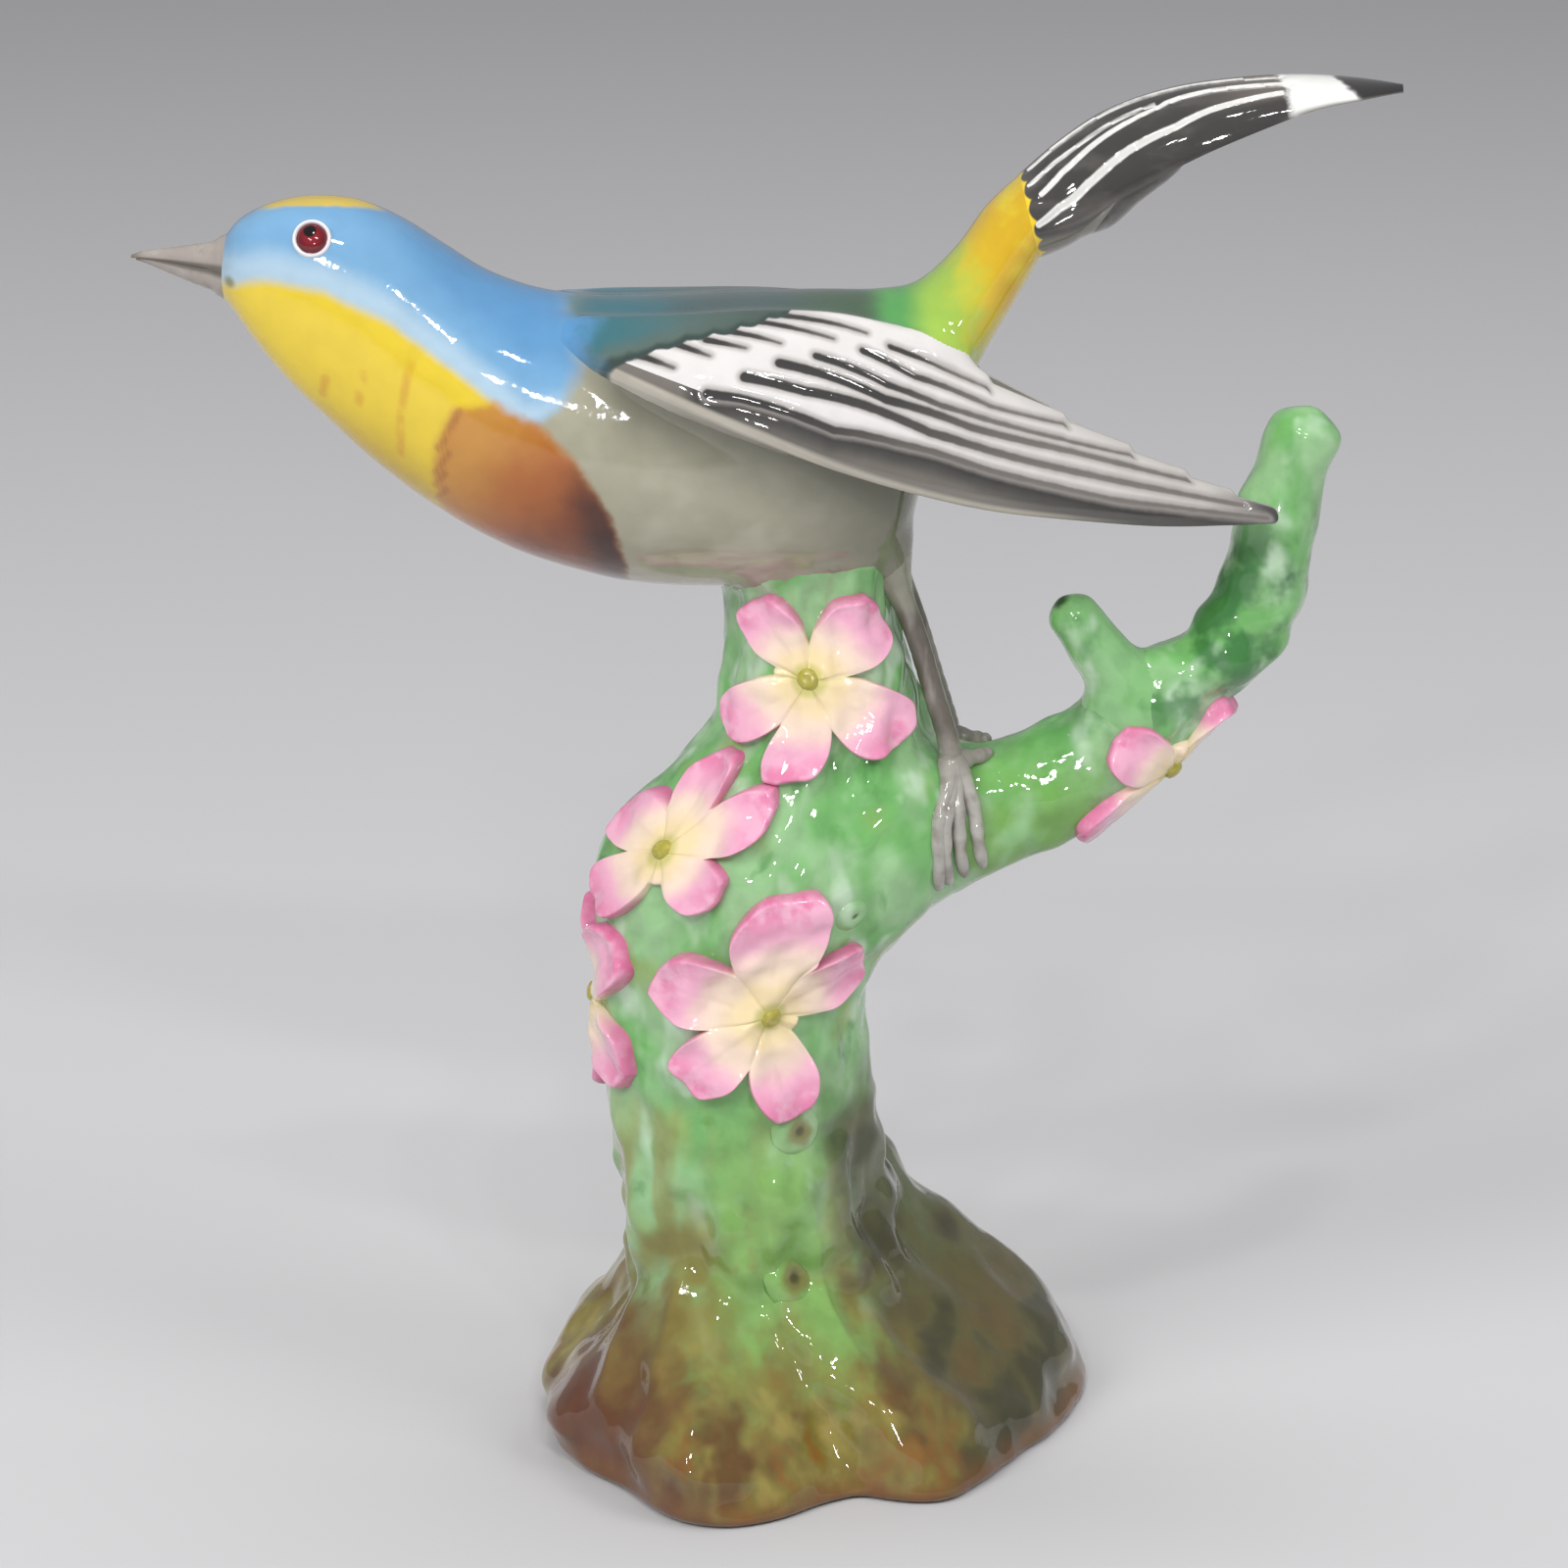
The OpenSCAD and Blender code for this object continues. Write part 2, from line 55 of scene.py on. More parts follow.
# Bird stations: upper x, upper z, lower x, lower z, half width over BODY_HALF_W, squareness
BIRD = [
    (-73.6, 158.6, -74.0, 151.6, 0.18, 2.0),
    (-71.6, 161.0, -72.2, 149.4, 0.33, 2.1),
    (-68.2, 162.8, -69.4, 145.6, 0.44, 2.3),
    (-63.5, 163.8, -65.4, 140.8, 0.52, 2.4),
    (-57.5, 163.5, -59.6, 134.8, 0.58, 2.3),
    (-52.0, 161.3, -54.4, 130.0, 0.64, 2.2),
    (-46.5, 157.8, -48.8, 125.6, 0.71, 2.1),
    (-40.5, 154.2, -42.6, 121.8, 0.79, 2.0),
    (-33.0, 151.8, -34.6, 118.4, 0.90, 2.0),
    (-22.5, 151.2, -23.6, 115.6, 1.00, 2.0),
    (-10.5, 151.8, -11.0, 115.0, 1.00, 2.0),
    (0.0, 152.0, 1.0, 115.2, 0.90, 2.0),
    (7.0, 152.2, 9.4, 117.5, 0.72, 2.0),
    (12.0, 153.2, 13.6, 131.0, 0.56, 2.0),
    (16.6, 157.4, 19.6, 143.0, 0.47, 2.0),
    (20.4, 162.6, 24.0, 151.0, 0.43, 2.0),
    (24.4, 166.5, 27.0, 156.4, 0.42, 2.0),
]
# Rows where the head meets the body and where the body ends under the tail
NECK_ROW = 6
TAIL_ROW = 16

# Mandibles from the head to the tip: x, z of the mouth line, height, half width
UPPER_BILL = [
    (-72.6, 155.2, 3.3, 3.2),
    (-76.0, 155.5, 2.5, 2.4),
    (-80.0, 156.0, 1.5, 1.5),
    (-83.4, 156.3, 0.8, 0.8),
    (-85.0, 156.3, 0.3, 0.3),
]
LOWER_BILL = [
    (-72.6, 155.2, -3.5, 3.2),
    (-76.0, 155.5, -2.9, 2.4),
    (-80.0, 156.0, -1.8, 1.5),
    (-83.0, 156.3, -0.8, 0.8),
    (-84.4, 156.3, -0.3, 0.3),
]
EYE_AT = (-61.9, 7.2, 159.8)
EYE_R = 2.35

# Wing stations, left side: upper edge x, y, z, lower edge x, y, z, swell outwards, swell inwards
WING = [
    (-31.5, -7.4, 149.0, -31.2, -10.6, 148.0, 0.6, 1.6),
    (-26.0, -8.0, 149.8, -26.4, -14.6, 145.9, 1.6, 2.2),
    (-16.0, -8.4, 150.4, -16.6, -18.8, 142.0, 2.6, 2.2),
    (-6.0, -8.2, 150.9, -7.6, -20.0, 138.3, 2.9, 2.2),
    (4.0, -8.6, 150.3, 2.2, -19.6, 134.1, 2.8, 1.6),
    (13.4, -9.4, 147.4, 11.6, -18.4, 130.9, 2.5, 0.6),
    (22.6, -9.9, 142.7, 21.2, -17.0, 128.4, 2.2, 0.3),
    (32.0, -10.1, 138.0, 31.4, -15.6, 126.9, 1.9, 0.2),
    (41.0, -10.4, 133.8, 41.4, -14.2, 125.8, 1.6, 0.2),
    (49.2, -10.8, 130.2, 50.0, -13.0, 125.6, 1.2, 0.2),
    (56.0, -11.4, 127.6, 56.5, -12.4, 125.7, 0.7, 0.4),
]
# The wing's root in x and z, and how its length runs: share of x and of the drop in z
WING_PIVOT = (-31.0, 149.0)
WING_COURSE = (0.94, 0.33)
RIGHT_WING_PITCH = math.radians(3.8)

# Tail stations: ridge x, z, edge x, z, half width, height of the underside over the edge
TAIL = [
    (24.4, 166.5, 25.7, 161.45, 7.81, -5.22),
    (28.6, 170.4, 31.6, 162.4, 7.2, -3.0),
    (35.0, 174.7, 38.0, 166.0, 7.4, 1.6),
    (42.6, 177.3, 45.2, 170.0, 7.8, 4.2),
    (50.6, 178.5, 52.6, 173.2, 7.4, 3.0),
    (58.6, 178.9, 59.6, 175.6, 6.2, 1.4),
    (65.6, 178.5, 66.0, 176.6, 4.2, 0.2),
    (71.0, 177.8, 71.0, 177.0, 1.0, -0.3),
]
# Feathers under the tail: x, z, half height, half width
UNDERTAIL = [
    (29.0, 162.6, 1.0, 4.0),
    (33.2, 162.6, 2.8, 5.0),
    (38.0, 166.4, 2.9, 4.2),
    (42.6, 170.2, 2.9, 3.0),
    (45.6, 172.2, 1.2, 1.2),
]

# Stump stations: height, centre x, half width in x, half width in y
STUMP = [
    (0, 0.0, 24.0, 23.0),
    (10, -3.0, 22.0, 21.0),
    (20, -6.5, 20.0, 19.0),
    (28, -8.2, 18.6, 17.5),
    (36, -9.6, 18.0, 17.0),
    (45, -10.2, 17.2, 16.5),
    (56, -10.9, 16.9, 16.5),
    (64, -10.4, 17.6, 17.0),
    (72, -8.6, 19.6, 18.0),
    (79, -6.6, 20.6, 18.0),
    (85, -4.8, 19.4, 16.4),
    (90, -2.6, 16.8, 14.4),
    (95, -0.8, 13.8, 12.6),
    (100, 0.2, 12.6, 12.0),
    (106, 0.0, 11.6, 11.6),
    (112, -0.8, 10.8, 11.0),
    (122, -0.9, 10.6, 10.8),
]
# Foot: radius, and the height of the seam between mound and trunk
FOOT_R = 34.0
SEAM_Z = 32.0
STUMP_TOP = 120.0
# Lobes of the foot: direction, half angle, reach beyond FOOT_R
FOOT_LOBES = [
    (30, 27, 6.5),
    (118, 22, 3.0),
    (165, 22, 2.5),
    (205, 18, 3.5),
    (245, 16, 4.6),
    (280, 15, -5.4),
    (325, 24, -3.0),
]
# The foot's skirt: its height, and the share of it that stands upright
SKIRT_Z = 26.0
SKIRT_UPRIGHT = 0.2
# How the height of the foot's skirt varies: direction, half angle, extra
SKIRT_RISES = [(48, 34, 27.0), (185, 30, -6.0), (250, 30, 3.0), (300, 25, -3.0), (110, 30, 3.0)]
# Broad ridges that wind up the trunk
BARK_DEPTH = 0.5
BARK_RIDGES = 5
# Knots: direction, height, radius, share of brown in their paint
KNOTS = [(297, 46.5, 2.1, 1.0), (309, 75.5, 1.4, 0.0), (286, 26, 2.3, 1.0), (150, 48, 2.5, 0.6)]

# Branch and twig: x, y, z, radius
BRANCH = [
    (2.0, 0, 79.5, 8.2),
    (13.0, 0, 82.0, 8.2),
    (20.5, 0, 84.2, 7.8),
    (30.5, 0, 88.9, 7.3),
    (40.9, 0.4, 96.3, 6.3),
    (48.4, 0.8, 103.7, 5.5),
    (54.6, 1.0, 109.6, 5.9),
    (56.4, 1.2, 116.8, 5.5),
    (57.8, 1.2, 125.4, 5.1),
    (59.6, 1.2, 131.0, 4.9),
    (61.0, 1.2, 134.8, 4.4),
    (61.8, 1.2, 137.0, 2.6),
]
TWIG = [
    (41.5, -0.5, 97.0, 5.2),
    (38.6, -2.2, 101.6, 4.4),
    (34.6, -3.2, 107.2, 3.5),
    (31.4, -4.0, 112.0, 3.0),
    (30.2, -4.3, 113.8, 1.9),
]
LEG_R = 1.6
TOE_R = 1.15
# Leg and toes of the right side: x, y, z
LEG = [
    (8.4, 4.2, 120.5),
    (9.9, 4.4, 115.0),
    (12.3, 4.8, 108.5),
    (14.4, 5.2, 101.5),
    (16.2, 5.4, 95.5),
    (16.6, 5.4, 92.3),
]
TOES = [
    [(16.4, 5.8, 93.0), (14.7, 7.2, 89.6), (13.0, 8.5, 85.4), (12.8, 8.8, 81.4), (13.7, 7.5, 77.4)],
    [(16.5, 6.0, 93.0), (15.8, 7.4, 89.6), (15.0, 8.5, 85.6), (15.1, 8.8, 81.4), (15.9, 7.4, 77.6)],
    [(16.7, 6.0, 93.0), (17.0, 7.4, 89.8), (17.2, 8.5, 86.0), (17.5, 8.7, 82.0), (18.1, 7.4, 78.4)],
    [(16.9, 5.8, 93.0), (18.4, 6.9, 90.4), (19.5, 8.1, 86.8), (20.0, 8.5, 82.8), (20.7, 7.5, 79.4)],
    [(16.8, 5.2, 93.0), (19.0, 4.3, 92.9), (20.8, 3.1, 92.9), (22.0, 2.1, 93.0)],
]

# Blossoms: host, place on it, petal directions, petal lengths. The place is the direction and height on
# the stump, or the row and the angle round the branch
BLOSSOMS = {
    "top": ("stump", (263, 105.6), (123, 42, 321, 264, 219), (11.6, 13.2, 14.5, 13.6, 13.2)),
    "front": ("stump", (284, 62.8), (97, 163, 222, 281, 31), (17.0, 16.0, 14.6, 14.6, 12.6)),
    "shoulder": ("stump", (221, 83.2), (30, 93, 163, 228, 334), (14.0, 12.5, 11.5, 12.0, 11.0)),
    "side": ("stump", (184, 60.3), (48, 120, 190, 262, 318), (13.5, 13.0, 13.5, 13.0, 13.5)),
    "back": ("stump", (80, 66.0), (20, 95, 165, 235, 310), (14.0, 14.5, 14.0, 15.0, 14.0)),
    "branch": ("branch", (3.95, -22), (102, 178, 238, 296, 352), (11.0, 12.5, 11.0, 10.5, 12.5)),
}
# Branch at its blossom: millimetres of one row, and radius
BRANCH_ROW_LENGTH = 11.6
BRANCH_R = 7
PELLET_R = 1.6

# ---- Painting tables: places on the bird in x, z, and on wing and tail in rows and shares ----

# Upper edge of the yellow throat: x, z
THROAT_EDGE = [
    (-76, 153.0),
    (-72.9, 154.1),
    (-67.5, 155.3),
    (-60.4, 154.1),
    (-53.1, 151.0),
    (-45.8, 145.9),
    (-36, 138.6),
]
# Line between the blue neck and the grey flank: z, x
NECK_EDGE = [(130, -36.0), (139, -35.5), (141.5, -31.6), (145.3, -29.6), (149.6, -30.6), (153, -33.0)]
# Lower edges of the painted back and of the wing: x, z
BACK_EDGE = [(-34, 148.0), (-20, 147.0), (0, 146.0), (12, 148.0), (20, 150.0)]
WING_LOW = [(-30, 147.5), (-16.6, 142.0), (2.2, 134.1), (14, 130.0)]
# Outline of the russet breast patch
BREAST = [
    (-44.6, 140.6),
    (-39.5, 141.4),
    (-34.6, 139.2),
    (-29.6, 134.2),
    (-26.2, 128.0),
    (-24.4, 121.5),
    (-24.0, 112.0),
    (-50.0, 112.0),
    (-47.0, 126.0),
    (-47.6, 132.0),
    (-46.6, 137.0),
]
# Fine brown bars across the throat
THROAT_BARS = [
    [(-60.5, 143.4), (-61.1, 141.2)],
    [(-55.9, 144.1), (-56.5, 140.5)],
    [(-49.4, 147.6), (-50.6, 143.4), (-51.4, 138.5), (-51.6, 134.0)],
]
# Short strokes that feather the front of the breast patch: top and bottom corner of the row of strokes
BREAST_FRONT = [(-44.6, 139.8), (-46.2, 137.0), (-47.2, 132.0), (-46.8, 127.5)]
BREAST_STROKES = 6
# Grey painted grooves of the wing: row along the wing and share of the way down it; half width in mm
WING_GROOVES = [
    ([(2.30, 0.86), (2.7, 0.81), (3.9, 0.79), (4.7, 0.735), (5.9, 0.72), (7.5, 0.75), (9.7, 0.8)], 0.42),
    ([(2.78, 0.63), (3.5, 0.605), (5.1, 0.60), (6.2, 0.57), (7.7, 0.52), (9.3, 0.44)], 0.50),
    ([(3.18, 0.455), (4.5, 0.49), (5.6, 0.46), (6.9, 0.36), (8.48, 0.20)], 0.46),
    ([(3.60, 0.34), (4.5, 0.39), (5.2, 0.395), (6.4, 0.31), (7.68, 0.14)], 0.36),
    ([(4.16, 0.22), (4.84, 0.27), (5.8, 0.24), (6.80, 0.11)], 0.34),
    ([(4.50, 0.13), (5.2, 0.14), (5.8, 0.11)], 0.30),
]
# Short strokes that run back from the edge of the wing's dark cap
WING_STROKES = [
    [(1.46, 0.70), (1.86, 0.73)],
    [(1.90, 0.46), (2.30, 0.52)],
    [(2.24, 0.36), (2.74, 0.39)],
    [(2.48, 0.24), (3.16, 0.30)],
    [(2.76, 0.12), (3.78, 0.19)],
    [(3.10, 0.05), (4.18, 0.09)],
]
WING_STROKE = 0.36
# Edge of the dark cap: row, share of the way down the wing
CAP_EDGE = [
    (0.9, 1.3),
    (1.1, 0.98),
    (1.3, 0.86),
    (1.5, 0.68),
    (1.72, 0.53),
    (2.06, 0.36),
    (2.6, 0.21),
    (3.1, 0.04),
    (3.4, -0.1),
]
# Rows at which the wing's long feathers end along its upper edge
FEATHER_TIPS = (5.80, 6.80, 7.68, 8.48, 9.20)
FEATHER_STEP = 0.8
# White feather lines of the tail: row, angle from the ridge; half width in mm
TAIL_LINES = [
    ([(0.2, 34), (0.9, 30), (1.5, 29), (2.7, 24)], 0.20),
    ([(0.45, 54), (0.96, 45), (1.54, 39), (2.3, 33), (3.2, 24), (3.7, 22), (4.7, 26)], 0.30),
    ([(0.2, 86), (0.7, 74), (1.3, 67), (2.12, 59), (2.9, 56), (3.4, 50), (4.6, 44)], 0.46),
    ([(0.3, 4), (1.5, 5), (2.6, 3), (4.6, 2)], 0.18),
]

# ---- Small helpers ----


def unit(v):
    return v / np.maximum(np.linalg.norm(v, axis=-1, keepdims=True), 1e-12)


def ease(t):
    t = np.clip(t, 0.0, 1.0)
    return t * t * (3 - 2 * t)


def rows_at(table, t):
    """Smooth curve through a table's rows, read at row numbers t."""
    table = np.asarray(table, float)
    t = np.asarray(t, float)
    last = len(table) - 1
    i = np.clip(np.floor(t).astype(int), 0, last - 1)
    f = (t - i)[..., None]
    a, b, c, d = table[np.maximum(i - 1, 0)], table[i], table[i + 1], table[np.minimum(i + 2, last)]
    return b + (c - a) * f / 2 + (2 * a - 5 * b + 4 * c - d) * f**2 / 2 + (d - a + 3 * (b - c)) * f**3 / 2


def steps(table, per_row):
    """Evenly spaced row numbers from a table's first row to its last."""
    last = len(table) - 1
    return np.linspace(0, last, last * per_row + 1)


def once_round(columns):
    """Evenly spaced angles once round."""
    return np.linspace(0, 2 * math.pi, columns + 1)[:-1]


def curve(pairs, x):
    """Straight interpolation of a list of (x, value) pairs."""
    xs, values = zip(*pairs)
    return np.interp(x, xs, values)


def humps(angle, lobes):
    """Sum of round bumps at given directions, in degrees."""
    total = np.zeros_like(angle, float)
    for direction, half, size in lobes:
        away = np.abs((angle - direction + 540) % 360 - 180)
        total += size * np.exp(-((away / half) ** 2))
    return total


def lumps(points, size, seed=0.0):
    """Smooth deterministic noise, about -1 to 1, with features of that size."""
    shift = Vector((seed, 2 * seed, -seed))
    values = [noise.noise(Vector(p) / size + shift) for p in points.reshape(-1, 3)]
    return np.reshape(values, points.shape[:-1])


def line_distance(x, y, line):
    """Distance from points to an open line of corners, and the share of the line where it is nearest."""
    best = np.full(x.shape, np.inf)
    share = np.zeros(x.shape)
    count = len(line) - 1
    for k in range(count):
        (ax, ay), (bx, by) = line[k], line[k + 1]
        dx, dy = bx - ax, by - ay
        s = np.clip(((x - ax) * dx + (y - ay) * dy) / (dx * dx + dy * dy), 0, 1)
        d = np.hypot(x - ax - s * dx, y - ay - s * dy)
        closer = d < best
        best = np.where(closer, d, best)
        share = np.where(closer, (k + s) / count, share)
    return best, share


def outline_distance(x, y, corners):
    """Signed distance to a closed outline, positive inside."""
    away = line_distance(x, y, corners + corners[:1])[0]
    inside = np.zeros(x.shape, bool)
    for (ax, ay), (bx, by) in zip(corners, corners[1:] + corners[:1]):
        crosses = (ay > y) != (by > y)
        at = ax + (y - ay) * (bx - ax) / np.where(by == ay, 1e-9, by - ay)
        inside ^= crosses & (x < at)
    return np.where(inside, away, -away)


# ---- Skins ----


def tree_of(points, faces):
    return BVHTree.FromPolygons(points.tolist(), faces)


def with_ends(values):
    """Values of a grid of rows and columns, with the two end points added."""
    return np.concatenate([values.ravel(), [values[0].mean(), values[-1].mean()]])


BLEND_STEPS = 7
# Share of its height over the middle of a hollow by which a skin sinks below the other one's side
SUNK_PAST_MIDDLE = 0.3
# Depth over a blend's reach at which its rise begins to fade, and over how much more it is gone
FADE_FROM, FADE_OVER = 0.3, 0.3


class Skin:
    """A closed surface through rings of points, with paint fields at every point."""

    def __init__(self, rings):
        self.rows, self.columns = rings.shape[:2]
        flat = rings.reshape(-1, 3)
        self.points = np.vstack([flat, rings[0].mean(0), rings[-1].mean(0)])
        i = np.arange(self.columns)
        after = (i + 1) % self.columns
        starts = np.arange(self.rows - 1)[:, None] * self.columns
        self.quads = np.stack(
            [starts + i, starts + after, starts + self.columns + after, starts + self.columns + i], -1
        ).reshape(-1, 4)
        n = self.rows * self.columns
        last = (self.rows - 1) * self.columns
        first_cap = np.stack([np.full_like(i, n), after, i], -1)
        last_cap = np.stack([np.full_like(i, n + 1), last + i, last + after], -1)
        self.caps = np.vstack([first_cap, last_cap])
        if self.volume() < 0:
            self.quads = self.quads[:, ::-1].copy()
            self.caps = self.caps[:, ::-1].copy()
        self.fields = {}
        self.normals = self.find_normals()
        self.tree = tree_of(self.points, self.faces())
        self.rise = np.zeros(len(self.points))

    def faces(self):
        return self.quads.tolist() + self.caps.tolist()

    def volume(self):
        triangles = np.vstack([self.quads[:, [0, 1, 2]], self.quads[:, [0, 2, 3]], self.caps])
        a, b, c = (self.points[triangles[:, k]] for k in range(3))
        return (a * np.cross(b, c)).sum() / 6

    def find_normals(self):
        normals = np.zeros_like(self.points)
        p = self.points
        a, b, c, d = (p[self.quads[:, k]] for k in range(4))
        across = np.cross(c - a, d - b)
        for k in range(4):
            np.add.at(normals, self.quads[:, k], across)
        a, b, c = (p[self.caps[:, k]] for k in range(3))
        flat = np.cross(b - a, c - a)
        for k in range(3):
            np.add.at(normals, self.caps[:, k], flat)
        return unit(normals)

    def note(self, **fields):
        """Keeps paint fields, each given as a grid or as anything that spreads over rows and columns."""
        for field, values in fields.items():
            self.fields[field] = with_ends(np.broadcast_to(values, (self.rows, self.columns)))

    def lift(self, height):
        """Moves every point outwards by height, a number for each."""
        self.points = self.points + self.normals * np.asarray(height)[:, None]
        self.normals = self.find_normals()

    def blend_into(self, other, reach):
        """Notes how far this skin rises to meet another one in a round hollow.

        Each point climbs its normal until it lies on the smooth union of both skins. Past the middle of the
        hollow it sinks a little below the other skin's side of it.
        """
        lo = other.points.min(0) - reach
        hi = other.points.max(0) + reach
        near = np.where(((self.points > lo) & (self.points < hi)).all(1))[0]
        for k in near:
            start, normal = Vector(self.points[k]), Vector(self.normals[k])
            place, outwards, _, inside = other.tree.find_nearest(start, 2 * reach)
            if place is None:
                continue
            depth = (start - place).dot(normal)
            if (start - place).dot(outwards) > 0:
                inside = 0.0
            rise = 0.0
            for _ in range(BLEND_STEPS):
                place, outwards, _, away = other.tree.find_nearest(start + normal * rise, 2 * reach)
                if place is None:
                    rise = 0.0
                    break
                if (start + normal * rise - place).dot(outwards) < 0:
                    away = -away
                share = max(reach - abs(rise - away), 0.0) / reach
                rise -= min(rise, away) - share * share * reach / 4
                rise = min(max(rise, 0.0), reach / 2)
            else:
                rise = max(rise - SUNK_PAST_MIDDLE * min(max(rise - away, 0.0), 1.0), 0.0)
                rise *= 1 - float(ease((max(inside, depth) / reach - FADE_FROM) / FADE_OVER))
            self.rise[k] = max(self.rise[k], rise)

    def hold_start(self, path, first, last):
        """Keeps the hidden start of a swept piece, up to row first of its path, from growing."""
        row = self.fields["along"] * (len(path) - 1)
        self.rise *= ease((row - first) / (last - first))

    def carry_on(self, seam, inner):
        """Gives the ring at a seam the normals of the ring before it, as if the skin went straight on."""
        rings = self.normals[:-2].reshape(self.rows, self.columns, 3)
        rings[seam] = rings[inner]

    def settle(self):
        """Applies what blend_into noted."""
        self.lift(self.rise)
        self.rise[:] = 0


def grow_together(a, b, reach):
    """Two skins meet in a round hollow, which begins about reach away from both."""
    a.blend_into(b, reach)
    b.blend_into(a, reach)


def add_object(name, data):
    """A new object with this mesh, lamp or camera, in the scene."""
    thing = bpy.data.objects.new(name, data)
    bpy.context.scene.collection.objects.link(thing)
    return thing


def add_piece(node, material, points, faces, normals, fields):
    """One visible piece in metres that stands for a CAD node."""
    name = node + "_glazed"
    mesh = bpy.data.meshes.new(name)
    mesh.from_pydata((points * MM).tolist(), [], faces)
    mesh.shade_smooth()
    mesh.normals_split_custom_set_from_vertices(normals.tolist())
    mesh.materials.append(material)
    for field, values in fields.items():
        attribute = mesh.attributes.new(field, "FLOAT", "POINT")
        attribute.data.foreach_set("value", np.asarray(values, np.float32))
    piece = add_object(name, mesh)
    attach(piece, "root")
    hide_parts(node)


def add_skin(skin, node, material):
    faces = skin.faces()
    add_piece(node, material, skin.points, faces, skin.normals, skin.fields)


def tucked(ring, beyond, depth=0.35, inset=0.5):
    """A ring that goes on past a seam, a little inside the neighbouring skin."""
    centre = ring.mean(0)
    onward = unit(centre - beyond.mean(0))
    return ring + unit(centre - ring) * inset + onward * depth


def add_rows(skin, first, last, node, material):
    """The part of a skin between two rows as a closed piece, with the whole skin's normals."""
    grid = (skin.rows, skin.columns)
    order = np.arange(first, last + 1)
    rings = skin.points[:-2].reshape(*grid, 3)[order]
    if first > 0:
        rings = np.concatenate([[tucked(rings[0], rings[1])], rings])
        order = np.concatenate([[first], order])
    if last < skin.rows - 1:
        rings = np.concatenate([rings, [tucked(rings[-1], rings[-2])]])
        order = np.concatenate([order, [last]])
    piece = Skin(rings)
    piece.normals[:-2] = skin.normals[:-2].reshape(*grid, 3)[order].reshape(-1, 3)
    if first == 0:
        piece.normals[-2] = skin.normals[-2]
    if last == skin.rows - 1:
        piece.normals[-1] = skin.normals[-1]
    piece.note(**{field: values[:-2].reshape(grid)[order] for field, values in skin.fields.items()})
    add_skin(piece, node, material)


def add_joined(skins, node, material):
    """Several skins as one piece."""
    faces, offset = [], 0
    for skin in skins:
        faces += [[v + offset for v in face] for face in skin.faces()]
        offset += len(skin.points)
    points = np.vstack([skin.points for skin in skins])
    normals = np.vstack([skin.normals for skin in skins])
    fields = {f: np.concatenate([skin.fields[f] for skin in skins]) for f in skins[0].fields}
    add_piece(node, material, points, faces, normals, fields)


def turned(profile, per_row, columns, scale, place, axes, wobble=1.0):
    """Skin of a profile turned round an axis, and the profile's radius and height at each ring.

    The axes are two directions across and the one outwards.
    """
    side, up, out = axes
    s = rows_at(profile, steps(profile, per_row)) * scale
    a = once_round(columns)
    ring = np.cos(a)[:, None] * side + np.sin(a)[:, None] * up
    return Skin(place + s[:, None, 1:2] * out + s[:, None, 0:1] * wobble * ring), s[:, 0:1], s[:, 1:2]


# ---- Stump ----


def stump_row(z):
    return rows_at(STUMP, np.interp(z, [s[0] for s in STUMP], range(len(STUMP))))


def stump_radius(angle, z):
    s = stump_row(z)
    c, q = np.cos(np.radians(angle)), np.sin(np.radians(angle))
    trunk = 1 / np.hypot(c / s[..., 2], q / s[..., 3])
    at_foot = 1 / np.hypot(c / STUMP[0][2], q / STUMP[0][3])
    rise = (z / (SKIRT_Z + humps(angle, SKIRT_RISES)) - SKIRT_UPRIGHT) / (1 - SKIRT_UPRIGHT)
    skirt = (FOOT_R + humps(angle, FOOT_LOBES) - at_foot) * (1 - ease(rise))
    return trunk + skirt + BARK_DEPTH * np.sin(np.radians(BARK_RIDGES * angle + 3 * z))


# Painted zones round the trunk: name, direction of the middle, half width
# The zone at 15 degrees, the trunk's right side, is where shade is painted
ZONES = [("streak", 281, 38), ("shaded_side", 15, 95), ("rust", 215, 60)]
# Millimetres from ring to ring, columns, and the round lower edge of the foot
STUMP_STEP = 0.5
STUMP_COLUMNS = 400
BOTTOM_ROUND = 1.6
# Below LOW_Z the bumps grow and the root folds set in, fully so LOW_FADE further down
LOW_Z = 50
LOW_FADE = 30


def stump_relief(angle, z):
    """Low bumps and root folds added to the stump's skin."""
    r = np.radians(angle)
    folds = 1 - 2 * np.abs(lumps(np.stack([26 * np.cos(r), 26 * np.sin(r), z * 0.28], -1), 9.0, 3.7))
    solid = np.stack([22 * np.cos(r), 22 * np.sin(r), z], -1)
    bumps = lumps(solid, 10.0, 1.3)
    small = lumps(solid, 4.6, 6.3)
    low = 1 - ease((z - LOW_Z + LOW_FADE) / LOW_FADE)
    foot_edge = ease(z / 7)
    root_folds = (folds - 0.45) * 1.2 * low * foot_edge
    bumps = bumps * (0.9 + 2.0 * low * foot_edge)
    return root_folds + bumps + small * (0.75 + 0.45 * low * foot_edge) - 1.2 * low


def on_stump(angle, z, out=0.0):
    """Points on the stump's skin, or standing out from it."""
    angle, z = np.asarray(angle, float), np.asarray(z, float)
    s = stump_row(z)
    radius = stump_radius(angle, z) + stump_relief(angle, z) + out
    r = np.radians(angle)
    return np.stack([s[..., 1] + radius * np.cos(r), radius * np.sin(r), z + 0 * radius], -1)


def zones(angle):
    """How far a direction round the trunk lies in each painted zone: 1 in its middle, 0 at its edge."""
    shares = {}
    for zone, middle, width in ZONES:
        shares[zone] = 1 - np.abs((angle - middle + 540) % 360 - 180) / width
    return shares


